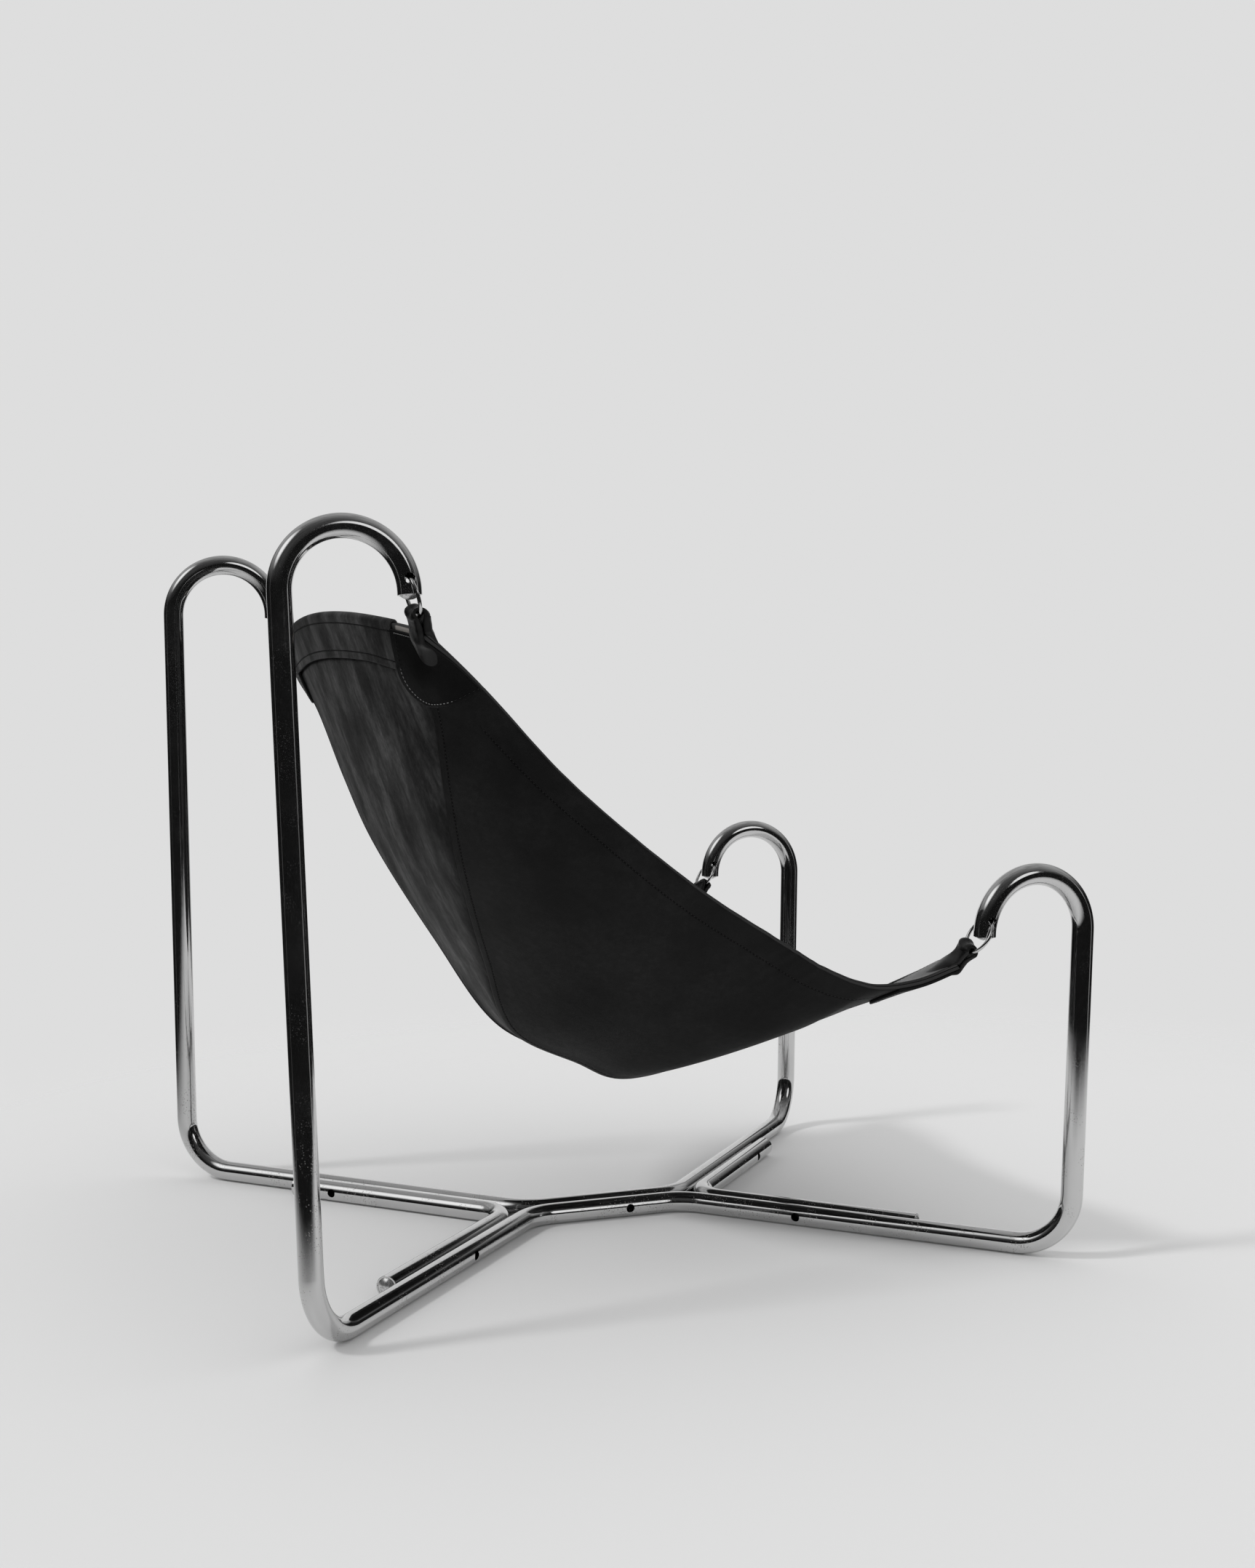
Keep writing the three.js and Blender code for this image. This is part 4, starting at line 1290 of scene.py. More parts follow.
    def plug_shape(self) -> Solid:
        """End cap pressed into a tube, its rim at the origin and its dome along +Z.

        Returns:
            The plug.
        """
        edge, dome = self.radius - self.wall - self.plug_play, self.plug_dome
        ball = (edge**2 + dome**2) / (2 * dome)
        angles = np.linspace(0.12, 1, 7) * math.asin(edge / ball)
        profile = [(ball * math.sin(a), ball * (math.cos(a) - 1) + dome) for a in angles]
        profile += [(edge, -self.plug_rim), (edge, -self.plug_length), (0.5 * edge, -self.plug_length)]
        return lathe(profile, np.zeros(3), np.array([0, 0, 1.0]), self.small_facets)

    def screw_shape(self) -> Solid:
        """Socket-head screw whose shank runs along +Z, with the tube's axis at the origin.

        Returns:
            The screw.
        """
        bore = (self.radius - self.wall) * math.cos(math.pi / self.packed_bore_sides)
        seat = math.sqrt(bore**2 - self.head_radius**2) - GAP
        top = seat - self.head_height
        facets, bevel, rim = 24, self.screw_bevel, self.socket_rim
        angles = np.arange(facets) * 2 * math.pi / facets
        turn = (angles + math.pi / 6) % (math.pi / 3) - math.pi / 6
        hexagon = self.socket_width / 2 / np.cos(turn)

        def ring(radius: float | Array, height: float) -> Array:
            """Ring of points at a height."""
            return np.stack([radius * np.cos(angles), radius * np.sin(angles), np.full(facets, height)], 1)

        rings = [
            ring(0.3 * hexagon, top + self.socket_depth + self.socket_cone),
            ring(hexagon, top + self.socket_depth),
            ring(hexagon, top + rim),
            ring(hexagon + rim, top),
            ring(self.head_radius - bevel, top),
            ring(self.head_radius, top + bevel),
            ring(self.head_radius, seat),
            ring(self.screw_radius, seat),
            ring(self.screw_radius, seat + self.screw_length - bevel),
            ring(self.screw_radius - bevel, seat + self.screw_length),
        ]
        faces = grid_faces(len(rings), facets, wrap=True)
        faces += [list(range(facets)), list(range((len(rings) - 1) * facets, len(rings) * facets))[::-1]]
        return Solid(np.concatenate(rings), faces).outward()

    def repeated(
        self, name: str, shape: Solid, points: Array, aims: Array, finish: Finish
    ) -> bpy.types.Object:
        """Copies of a shape on points, as one plain mesh.

        Args:
            name: the object's name.
            shape: what is repeated.
            points: where each copy's origin goes.
            aims: where each copy's Z points.
            finish: finish of the copies.

        Returns:
            The object.
        """
        source = shape.to_object(f"{name}_source")
        piece = aimed_points(name, points, aims)
        RepeatNodes.pieces().run(piece, {"Piece": source, "Material": finish.material()})
        discard(source)
        smoothed(piece.data, self.small_sharp)
        return piece

    def build(self) -> None:
        """Makes the tubes, plugs and screws and dresses them and the inserts."""
        chrome = ChromeFinish().material()
        paths = {f"side_frame_{side.word}": self.side_path(side) for side in Side}
        paths |= {f"{end.name}_brace": self.brace_path(end) for end in ENDS}
        plugs: list[tuple[str, Array, Array]] = []
        for name, path in paths.items():
            dressed(self.drilled(name, path), chrome, "frame", [name])
            if name.endswith("brace"):
                labels = [f"{name.removesuffix('_brace')}_{side.word}_brace_plug" for side in Side]
            else:
                labels = [f"{end.name}_{name.removeprefix('side_frame_')}_hook_plug" for end in ENDS]
            plugs.append((labels[0], path.points[0], -path.along[0]))
            plugs.append((labels[1], path.points[-1], path.along[-1]))
        names, points, aims = zip(*plugs)
        shape = self.plug_shape()
        piece = self.repeated("tube_end_plugs", shape, np.array(points), np.array(aims), PLUG_CHROME)
        dressed(piece, None, "frame", names)
        screws = self.screws()
        spots, ways = np.array([s.place for s in screws]), np.array([s.aim for s in screws])
        piece = self.repeated("socket_screws", self.screw_shape(), spots, ways, SCREW_STEEL)
        dressed(piece, None, "frame", [f"{s.name}_screw" for s in screws])
        zinc = ZINC.material()
        for screw in screws:
            node = frame["nodes"][f"{screw.name}_insert"]
            node.data.materials.clear()
            node.data.materials.append(zinc)


# Rings


@dataclass
class Hanger:
    """Where a ring hangs on the right side: hole, centre, and the directions of the leather loop on it."""

    hole: Array
    centre: Array
    plane: Array
    pull: Array
    across: Array
    wire: Array
    corner: Array


@dataclass
class Rings:
    """Four welded rings of round wire, one through each hook."""

    radius: float = 20.5 * MM
    wire: float = 2 * MM
    loop_width: float = 24 * MM
    loop_tail: float = 20 * MM
    weld: float = 0.12
    weld_span: float = 0.12
    steps: int = 120
    facets: int = 20

    @property
    def bow(self) -> float:
        """Depth of the ring's arc inside the tube."""
        return self.radius - math.sqrt(self.radius**2 - TUBE_RADIUS**2)

    def hanger(self, end: End) -> Hanger:
        """Hanger of an end, on the right side.

        Args:
            end: the chair's end.

        Returns:
            The hanger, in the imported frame.
        """
        joint = next(j for j in frame["joints"] if j["name"] == f"{end.name}_right_ring_swing")
        hole = np.array(joint["pos_m"])
        tilt, turn = math.radians(end.ring_tilt), math.radians(end.loop_turn)
        hang = np.array([-end.sign * math.sin(tilt), 0, -math.cos(tilt)])
        centre = hole + hang * (self.radius - self.bow / 2)
        inward = np.array([0, 1.0, 0])
        plane = np.cross(hang, inward)
        pull, across = turned(hang, plane, turn), turned(inward, plane, turn)
        wire = centre + pull * self.radius
        corner = wire + pull * self.loop_tail - across * self.loop_width / 2
        return Hanger(hole, centre, plane, pull, across, wire, corner)

    def ring(self, hanger: Hanger, side: Side) -> Solid:
        """Ring with a low weld bead where it passes through the tube.

        Args:
            hanger: where it hangs on the right side.
            side: the chair's side.

        Returns:
            The ring.
        """
        up = unit(hanger.centre - hanger.hole)
        rings = []
        for k in range(self.steps):
            angle = 2 * math.pi * k / self.steps
            spoke = turned(up, hanger.plane, angle)
            bead = 1 + self.weld * math.exp(-(((angle - math.pi) / self.weld_span) ** 2))
            along, centre = np.cross(hanger.plane, spoke), hanger.centre + spoke * self.radius
            rings.append(ring_points(centre, along, spoke, self.wire * bead, self.facets))
        points = mirrored(np.concatenate(rings), side)
        faces = grid_faces(self.steps, self.facets, wrap=True, close=True)
        return Solid(points, faces).outward()

    def build(self) -> None:
        """Makes and dresses the rings."""
        steel = ChromeFinish("ring_steel", bright=0.66, roughness=0.06, pitting=0.25).material()
        for end in ENDS:
            hanger = self.hanger(end)
            for side in Side:
                name = f"{end.name}_{side.word}_ring"
                piece = self.ring(hanger, side).to_object(f"{name}_wire")
                dressed(piece, steel, f"ring_{end.name}_{side.word}", [name])


# Sling


@dataclass(frozen=True)
class Guide:
    """Guide points of one row of the sling's right half.

    Each point is a share of the way from the rear corner to the front one, an inset from that line and a
    drop below it, in thousandths of the line's length. full is how far the side panel bellies out, at the
    share reach of its width.
    """

    arm: tuple[float, float, float]
    seam: tuple[float, float, float]
    middle: tuple[float, float]
    full: float
    reach: float = 0.5


GUIDES = (
    Guide((0, 0, 0), (-0.003, 32.8, -8.5), (-0.051, -18.5), 0),
    Guide((0.052, 11.4, 6), (0.019, 52.7, 39.9), (-0.024, 32.8), 4.3),
    Guide((0.115, 24.2, 21), (0.05, 84.1, 78.4), (0.007, 94), 11.4),
    Guide((0.26, 45.6, 70), (0.095, 150.7, 184.6), (0.065, 200.3), 25.6),
    Guide((0.402, 59.8, 98), (0.137, 206.7, 271.5), (0.114, 282.9), 37),
    Guide((0.543, 68.4, 116), (0.232, 332, 392.6), (0.219, 399.8), 45.6),
    Guide((0.66, 74.1, 119), (0.33, 435.9, 484.6), (0.33, 484.6), 48.4),
    Guide((0.718, 74.1, 120), (0.461, 437.5, 475.4), (0.461, 475.4), 45),
    Guide((0.776, 74.1, 120), (0.546, 432.8, 462.6), (0.546, 462.6), 39.9),
    Guide((0.868, 62.7, 103), (0.734, 319.1, 302), (0.743, 329.1), 14.2),
    Guide((0.939, 37, 59.8), (0.917, 255, 142.5), (0.942, 188.1), 2.8, 0.4),
    Guide((1, 0, 0), (1.051, 203.7, 19.9), (1.081, 72.7), -11.4, 0.15),
)


class SlingForm:
    """Middle surface of the sling: rows run from the rear edge to the front one, columns from arm to arm."""

    ROW_STEP = 0.004
    COLUMN_STEP = 0.002
    WALK_COLUMNS = 401

    def __init__(self, rear: Hanger, front: Hanger) -> None:
        """Places the guide points between the right corners.

        Args:
            rear: hanger of the rear corner.
            front: hanger of the front corner.
        """
        start, line = rear.corner, front.corner - rear.corner
        length = float(np.linalg.norm(line)) / 1000

        def hung(share: float, inset: float, drop: float) -> Array:
            """Point of the right half."""
            return start + line * share + np.array([0, inset, -drop]) * length

        self.arm = np.array([hung(*g.arm) for g in GUIDES])
        self.seam = np.array([hung(*g.seam) for g in GUIDES])
        self.middle = np.array([hung(g.middle[0], 0, g.middle[1]) * [1, 0, 1] for g in GUIDES])
        self.fullness = np.array([[g.full * length, g.reach, 0] for g in GUIDES])

    def sections(self, row: Array) -> Array:
        """Guide points across the sling at each row, from the right arm edge to the left one.

        Args:
            row: rows of the sling.

        Returns:
            Guide points (rows, 9, 3).
        """
        arm, seam = curve_at(self.arm, row), curve_at(self.seam, row)
        middle, fullness = curve_at(self.middle, row), curve_at(self.fullness, row)
        before, after = np.clip(row - self.ROW_STEP, 0, 1), np.clip(row + self.ROW_STEP, 0, 1)
        way = sum(curve_at(c, after) - curve_at(c, before) for c in (self.arm, self.seam))
        outward = unit(np.cross(way, arm - seam))
        belly = arm + (seam - arm) * fullness[:, 1:2] + outward * fullness[:, :1]
        quarter = middle + (seam - middle) * [0.25, 0.5, 0.25]
        half = np.stack([arm, belly, seam, quarter], 1)
        return np.concatenate([half, middle[:, None], (half * [1, -1, 1])[:, ::-1]], 1)

    def points(self, row: Array, column: Array) -> Array:
        """Points of the surface at rows and columns of one shape."""
        row, column = np.broadcast_arrays(np.asarray(row, float), np.asarray(column, float))
        return curve_at(self.sections(row.ravel()), column.ravel()).reshape(*row.shape, 3)

    def steps(self, row: Array, column: Array) -> tuple[Array, Array]:
        """Speed of the surface along its rows and along its columns.

        Args:
            row: rows of the sling.
            column: columns of the sling.

        Returns:
            Both speeds, in metres per whole row or column.
        """
        r0, r1 = np.clip(row - self.ROW_STEP, 0, 1), np.clip(row + self.ROW_STEP, 0, 1)
        c0, c1 = np.clip(column - self.COLUMN_STEP, 0, 1), np.clip(column + self.COLUMN_STEP, 0, 1)
        down = (self.points(r1, column) - self.points(r0, column)) / (r1 - r0)[..., None]
        over = (self.points(row, c1) - self.points(row, c0)) / (c1 - c0)[..., None]
        return down, over

    def layer(self, row: Array, column: Array, offset: Array | float) -> Array:
        """Points at an offset to the outside of the surface.

        Args:
            row: rows of the sling.
            column: columns of the sling.
            offset: offset of each point or of all.

        Returns:
            The points.
        """
        row, column = np.broadcast_arrays(np.asarray(row, float), np.asarray(column, float))
        down, over = self.steps(row, column)
        normal = unit(np.cross(over, down))
        offset = np.broadcast_to(np.asarray(offset, float), row.shape)[..., None]
        return self.points(row, column) + normal * offset

    def walked(self, row: Array, columns: Array) -> Array:
        """Distance from the right arm edge along each row, at each column (rows, columns).

        Args:
            row: rows of the sling.
            columns: columns of the sling.

        Returns:
            The distances.
        """
        line = self.points(row[:, None], columns[None, :])
        steps = np.linalg.norm(np.diff(line, axis=1), axis=2)
        return np.concatenate([np.zeros((len(row), 1)), np.cumsum(steps, axis=1)], axis=1)

    def columns_at(self, row: Array, distance: Array) -> Array:
        """Columns at distances from the right arm edge, for each row.

        Args:
            row: the rows (n,).
            distance: distances for every row (k,) or for each row (n, k).

        Returns:
            The columns (n, k).
        """
        columns = np.linspace(0, 1, self.WALK_COLUMNS)
        table = self.walked(row, columns)
        wanted = np.broadcast_to(distance, (len(row), np.shape(distance)[-1]))
        return np.stack([np.interp(d, t, columns) for d, t in zip(wanted, table)])

    def column_at(self, row: float, distance: float) -> float:
        """Column at a distance from the right arm edge, along one row."""
        return float(self.columns_at(np.array([row]), np.array([distance]))[0, 0])

    def row_span(self, row: float, column: float, length: float) -> float:
        """Rows that a length along the sling takes at a place."""
        down, _ = self.steps(np.array([row]), np.array([column]))
        return length / float(np.linalg.norm(down))

    def column_span(self, row: Array, column: float, length: float) -> Array:
        """Columns that a length across the sling takes at each row.

        Args:
            row: rows of the sling.
            column: the column.
            length: the length.

        Returns:
            The spans.
        """
        row = np.asarray(row, float)
        _, over = self.steps(row, np.full(row.shape, column))
        return length / np.linalg.norm(over, axis=-1)


Place = tuple[Array, Array]


@dataclass(frozen=True)
class LoopShape:
    """Strap loop of one end: width on the ring, neck's share of it, reach of its legs, and padding in mm."""

    width: float
    neck: float
    reach: float
    outer_plump: tuple[float, ...]
    inner_plump: tuple[float, ...]


LOOPS = {
    "rear": LoopShape(
        width=27 * MM,
        neck=0.95,
        reach=40 * MM,
        outer_plump=(0, 0.2, 0.5, 0.8, 0.8, 1.0, 1.4, 1.8, 1.8, 1.6),
        inner_plump=(0, 0.4, 1.5, 3.5, 5.0, 5.8, 5.5, 4.5, 3.2, 2.2, 1.6),
    ),
    "front": LoopShape(
        width=24 * MM,
        neck=0.8,
        reach=36 * MM,
        outer_plump=(0, 0.2, 0.4, 0.4, 0.4, 0.8, 1.8, 2.6, 2.6, 2.2),
        inner_plump=(0, 0.2, 0.4, 0.4, 0.4, 0.8, 1.8, 2.6, 2.6, 2.2, 2.0),
    ),
}


@dataclass(frozen=True)
class LegLine:
    """Line across a leg of a strap loop: how far it is back from the sling's edge, and its form there."""

    back: float
    lift: float
    width: float
    sink: float
    thick: float


LEG_LINES = (
    LegLine(back=1, lift=-0.5 * MM, width=0.5, sink=0.6 * MM, thick=0.25),
    LegLine(back=0.7, lift=0.3 * MM, width=0.75, sink=1.4 * MM, thick=0.6),
    LegLine(back=0.4, lift=1.0 * MM, width=0.95, sink=2.4 * MM, thick=1.1),
    LegLine(back=0.12, lift=1.5 * MM, width=1.0, sink=1.2 * MM, thick=1.5),
)


@dataclass(frozen=True)
class NeckLine:
    """Line across a strap loop between its ring and the sling: how far past the ring, and its form there."""

    ahead: float
    pinch: float
    thick: float


NECK_LINES = (
    NeckLine(ahead=15 * MM, pinch=0.4 * MM, thick=4.7),
    NeckLine(ahead=9.5 * MM, pinch=0.9 * MM, thick=4.2),
)
WRAP_ANGLES = (-32, -5, 25, 55, 90, 125, 155, 185, 212)
WRAP_THICK = 1.5


@dataclass
class Sling:
    """Leather sling: panels, hems, corner patches and linings, loops and stitching."""

    rings: Rings
    leather: float = 4 * MM
    trim: float = 3 * MM
    seam_column: float = 0.25
    lap: float = 5 * MM
    lap_stitch: float = 5 * MM
    lap_dip: float = 1.6 * MM
    lap_rise: float = 1.5 * MM
    groove: float = 0.75 * MM
    groove_width: float = 0.75 * MM
    band_height: float = 45 * MM
    band_stitches: tuple[float, float] = (6 * MM, 37.5 * MM)
    band_lip: float = 0.6 * MM
    band_shadow: float = 1.5 * MM
    arm_hem: float = 32 * MM
    front_hem: float = 28 * MM
    rear_patch: tuple[float, float] = (84 * MM, 85 * MM)
    front_patch: tuple[float, float] = (62 * MM, 70 * MM)
    patch_drop: float = 4.5 * MM
    hem_stitch: float = 2.5 * MM
    loop_base: float = 27 * MM
    loop_play: float = 2.0 * MM
    trim_bulge: float = 0.3
    band_bulge: float = 0.25
    loop_bulge: float = 0.35
    line_points: int = 120
    line_inset: float = 0.006
    stitch_pitch: float = 4.6 * MM
    stitch_size: tuple[float, float, float] = (3.0 * MM, 1.1 * MM, 0.9 * MM)
    lines: dict[str, list[tuple[Array, Array]]] = field(default_factory=dict)

    def __post_init__(self) -> None:
        """Sets the form and where each piece of trim ends on it."""
        self.hangers = {end.name: self.rings.hanger(end) for end in ENDS}
        self.form = SlingForm(self.hangers["rear"], self.hangers["front"])
        form = self.form
        self.stack = self.leather / 2 + GAP + self.trim
        self.patch_column = {
            "rear": form.column_at(0, self.rear_patch[0]),
            "front": form.column_at(1, self.front_patch[0]),
        }
        self.patch_rows = {
            "rear": form.row_span(0.1, self.seam_column / 2, self.rear_patch[1]),
            "front": form.row_span(0.95, 0, self.front_patch[1]),
        }
        self.band_rows = form.row_span(0.05, self.seam_column, self.band_height)
        self.hem_rows = form.row_span(0.97, 0.5, self.front_hem)
        self.side_rows = {"rear": self.band_rows, "front": self.hem_rows}
        self.flat_column = {"rear": self.seam_column, "front": self.seam_column / 4}

    def relief(self, row: Array, column: Array) -> Array:
        """Slow undulations of the hung leather, the same for every layer.

        Args:
            row: rows of the sling.
            column: columns of the sling.

        Returns:
            Offset of each point to the outside.
        """
        across = np.minimum(column, 1 - column)
        wave = np.sin(21 * row + 9 * column + 0.7) * np.sin(17 * column - 6 * row + 1.9)
        broad = np.sin(11 * row - 13 * column + 2.2)
        taut = smooth(row, 0.36, 0.5) * (1 - smooth(row, 0.8, 0.9)) * smooth(across, 0.12, 0.22)
        calm = smooth(row, 0.02, 0.12) * (1 - smooth(row, 0.9, 0.99))
        calm = calm * smooth(across, 0.0, 0.05) * (1 - taut)
        near_arm = np.exp(-((across / 0.075) ** 2))
        near_arm = near_arm * smooth(row, 0.16, 0.24) * (1 - smooth(row, 0.78, 0.86))
        pucker = np.sin(150 * row + 30 * across + 2.5 * np.sin(19 * row)) * np.sin(37 * row + 0.4)
        crease = np.exp(-(((row - 0.24 - 0.5 * across) / 0.05) ** 2))
        crease = crease * np.exp(-(((across - 0.07) / 0.06) ** 2))
        drag = np.sin(170 * (row - 0.9 * across))
        hung = (0.7 * wave + 0.6 * broad) * MM * calm
        return hung + 0.4 * MM * pucker * near_arm + 0.45 * MM * drag * crease

    def furrow(self, distance: Array) -> Array:
        """Share of a stitch groove's depth at a distance from its line."""
        return np.exp(-((distance / self.groove_width) ** 2))

    @staticmethod
    def places(length: float, spots: Sequence[float], step: float) -> Array:
        """Distances from 0 to a length, in even steps and closer together at the spots.

        Args:
            length: the whole length.
            spots: distances to refine.
            step: the even step.

        Returns:
            The distances, in order.
        """
        even = np.linspace(0, length, math.ceil(length / step) + 1)
        close = np.array([-2, -1.3, -0.9, -0.6, -0.3, 0, 0.3, 0.6, 0.9, 1.3, 2]) * MM
        near = np.concatenate([spot + close for spot in spots])
        even = even[np.abs(even[:, None] - near[None, :]).min(1) > 0.2 * MM]
        return np.unique(np.clip(np.concatenate([[0, length], even, near]), 0, length))

    def sheet(
        self,
        place: Place,
        low: Array | float,
        high: Array | float,
        bulge: float = 0.4,
        groove: Array | None = None,
        pale: Array | None = None,
    ) -> Solid:
        """Closed sheet over a grid of rows and columns.

        Args:
            place: rows and columns of the grid.
            low: offset of its inner face from the middle surface.
            high: offset of its outer face.
            bulge: how far the edges round out, as a share of the thickness.
            groove: mark of painted shade on the outer face, in pressed lines and under edges.
            pale: mark of raw leather on the outer face.

        Returns:
            The closed solid.
        """
        row, column = np.broadcast_arrays(*place)
        sway = self.relief(row, column)
        outer = self.form.layer(row, column, high + sway)
        inner = self.form.layer(row, column, low + sway)
        return leather_shell(outer, inner, bulge, groove, pale)

    def on_side(self, place: Place, side: Side) -> Place:
        """Rows and columns of the right side, moved to a side."""
        row, column = place
        return (row, column) if side is Side.RIGHT else (row, 1 - column)

    def fade(self, row: Array) -> Array:
        """Share of the lapped seam at each row: it becomes a butt seam under the patches and hems."""
        start = self.patch_rows["rear"]
        return smooth(row, start - 0.03, start - 0.008) * (1 - smooth(row, 0.95, 0.965))

    def panel_rows(self) -> Array:
        """Rows of the panels, closer together below the band."""
        below = self.band_rows * (1 + np.linspace(-0.08, 0.4, 22))
        return np.unique(np.concatenate([np.linspace(0, 1, 221), below]))

    def dip(self, far: Array, fade: Array) -> Array:
        """How far the main panel sinks at a distance past the seam, to pass under the side panel."""
        return -self.lap_dip * fade * (1 - smooth(far, -self.lap, self.lap))

    def rise(self, far: Array, fade: Array) -> Array:
        """How far the side panel's outer face rises at a distance past the seam."""
        return self.lap_rise * fade * smooth(far, -4 * self.lap, self.lap)

    def main_panel(self) -> Solid:
        """Back and seat in one, lapped under the side panels.

        Returns:
            The panel, closed.
        """
        rows = self.panel_rows()
        fade = self.fade(rows)[:, None]
        reach = self.form.walked(rows, np.linspace(0, 2 * self.seam_column, 201))
        at_seam = reach.shape[1] // 2
        seam = reach[:, at_seam : at_seam + 1]
        half = reach[:, -1:] - seam
        near = self.places(5 * self.lap, [2 * self.lap], 1.5 * MM)
        scale = np.minimum(1, 0.6 * half / near[-1])
        far = GAP / 2 * (1 - fade) - self.lap * fade + near * scale
        share = np.linspace(0, 1, 41)[1:]
        far = np.concatenate([far, far[:, -1:] + (half - far[:, -1:]) * share], axis=1)
        column = self.form.columns_at(rows, seam + far)
        column[:, -1] = 0.5
        column = np.concatenate([column, 1 - column[:, -2::-1]], axis=1)
        far = np.concatenate([far, far[:, -2::-1]], axis=1)
        down = rows[:, None] / self.band_rows * self.band_height
        patch_end = self.patch_column["rear"]
        inside = smooth(np.minimum(column, 1 - column), patch_end - 0.01, patch_end)
        # Shadow under the band's lower edge: the panel dips there, and the same shadow is painted into the
        # colour through the groove mark.
        shadow = np.exp(-(((down - self.band_height - 1.2 * MM) / (2.2 * MM)) ** 2)) * inside
        raw = 2 * (1 - smooth(down, self.patch_drop, self.patch_drop + 1.5 * MM)) * (1 - inside)
        sunk = self.dip(far, fade)
        top = self.leather / 2 + sunk - self.band_shadow * shadow
        # Painted shadow line at the side panel's cut edge (crease), and painted shade darkening the panel
        # towards the seam (the rest of beside); both go into the groove mark.
        past = far - self.lap
        crease = 0.45 * np.exp(-((past / (1.8 * MM)) ** 2))
        beside = fade * (crease + 0.5 * np.exp(-np.maximum(past, 0) / (32 * MM)))
        groove = np.maximum(shadow, beside)
        return self.sheet((rows[:, None], column), sunk - self.leather / 2, top, groove=groove, pale=raw)

    def side_panel(self, side: Side) -> Solid:
        """Panel between a seam and its arm edge, lapped over the main panel.

        Args:
            side: the chair's side.

        Returns:
            The panel, closed.
        """
        rows = self.panel_rows()
        fade = self.fade(rows)[:, None]
        seam = self.form.walked(rows, np.linspace(0, self.seam_column, 101))[:, -1:]
        width = seam + self.lap * fade - GAP / 2 * (1 - fade)
        hem_line = self.arm_hem - self.hem_stitch
        near_arm = self.places(self.arm_hem + 10 * MM, [hem_line], 4 * MM)
        near_seam = self.places(6 * self.lap, [self.lap + self.lap_stitch], 2 * MM)
        first = near_arm * np.minimum(1, 0.45 * width / near_arm[-1])
        last = width - near_seam[::-1] * np.minimum(1, 0.45 * width / near_seam[-1])
        share = np.linspace(0, 1, 37)[1:-1]
        between = first[:, -1:] + (last[:, :1] - first[:, -1:]) * share
        distance = np.concatenate([first, between, last], axis=1)
        column = self.form.columns_at(rows, distance)
        far = distance - seam
        hemmed = smooth(rows, self.patch_rows["rear"] + 0.03, self.patch_rows["rear"] + 0.045)
        hemmed = (hemmed * (1 - smooth(rows, 0.93, 0.95)))[:, None]
        # Stitch grooves: pressed into the outer face, and painted darker through the groove mark as painted
        # shade.
        pressed = fade * self.furrow(far + self.lap_stitch)
        pressed = pressed + hemmed * self.furrow(distance - hem_line) * 0.8
        over = fade * smooth(far, -4 * self.lap, -self.lap)
        resting = self.leather / 2 + self.dip(far, fade) + GAP / 2
        low = resting * over - self.leather / 2 * (1 - over)
        high = self.leather / 2 + self.rise(far, fade) - self.groove * pressed
        place = self.on_side((rows[:, None], column), side)
        return self.sheet(place, low, high, groove=pressed)

    def depth(self, end: End, column: Array) -> Array:
        """Rows that a corner patch reaches at each column: full depth, then a quarter round to its side.

        Args:
            end: the chair's end.
            column: columns of the sling.

        Returns:
            The rows.
        """
        flat, last = self.flat_column[end.name], self.patch_column[end.name]
        share = np.clip((column - flat) / (last - flat), 0, 1)
        side, full = self.side_rows[end.name], self.patch_rows[end.name]
        return side + (full - side) * np.sqrt(1 - share**2)

    def patch_columns(self, end: End, count: int) -> Array:
        """Columns of a corner patch, closer together round its curved end.

        Args:
            end: the chair's end.
            count: columns in each half.

        Returns:
            The columns.
        """
        flat, last = self.flat_column[end.name], self.patch_column[end.name]
        straight = np.linspace(0, flat, count)[:-1]
        return np.concatenate([straight, flat + (last - flat) * np.sin(np.linspace(0, math.pi / 2, count))])

    def corner(self, end: End, side: Side, face: Face) -> Solid:
        """Patch on the outside of a corner or lining on its inside.

        Args:
            end: the chair's end.
            side: the chair's side.
            face: outside for a patch, inside for a lining.

        Returns:
            The piece, closed.
        """
        column = self.patch_columns(end, 26)[None, :]
        share = np.linspace(0, 1, 41)[:, None]
        depth = self.depth(end, column)
        start = 0.0
        if end is REAR and face is Face.OUTSIDE:
            start = self.band_rows * self.patch_drop / self.band_height
        row = start + share * (depth - start)
        place = self.on_side((row if end is REAR else 1 - row, column), side)
        low, high = self.leather / 2 + GAP, self.stack
        return self.sheet(place, face.value * low, face.value * high, self.trim_bulge)

    def band(self) -> Solid:
        """Band folded over the top edge of the back, from patch to patch.

        Returns:
            The band, closed.
        """
        start = self.patch_column["rear"]
        start = start + float(self.form.column_span(np.array([0.0]), start, GAP)[0])
        column = np.linspace(start, 1 - start, 121)[None, :]
        down = self.places(self.band_height, self.band_stitches, 3 * MM)[::-1]
        turns = np.radians(np.linspace(0, 180, 15))[1:-1]
        fall = np.concatenate([down, np.zeros(len(turns)), down[::-1]])[:, None]
        row = fall / self.band_height * self.band_rows
        tilt = np.concatenate([np.zeros(len(down)), turns, np.full(len(down), math.pi)])[:, None]
        # Stitch grooves: pressed into the outer face, and painted darker through the groove mark as painted
        # shade.
        pressed = sum(self.furrow(fall - line) for line in self.band_stitches)
        lip = self.band_lip * smooth(fall, self.band_height - 4 * MM, self.band_height) * (tilt < 1)
        top = unit(self.form.steps(np.zeros(column.shape), column)[0])[0]
        sway = self.relief(row, column)

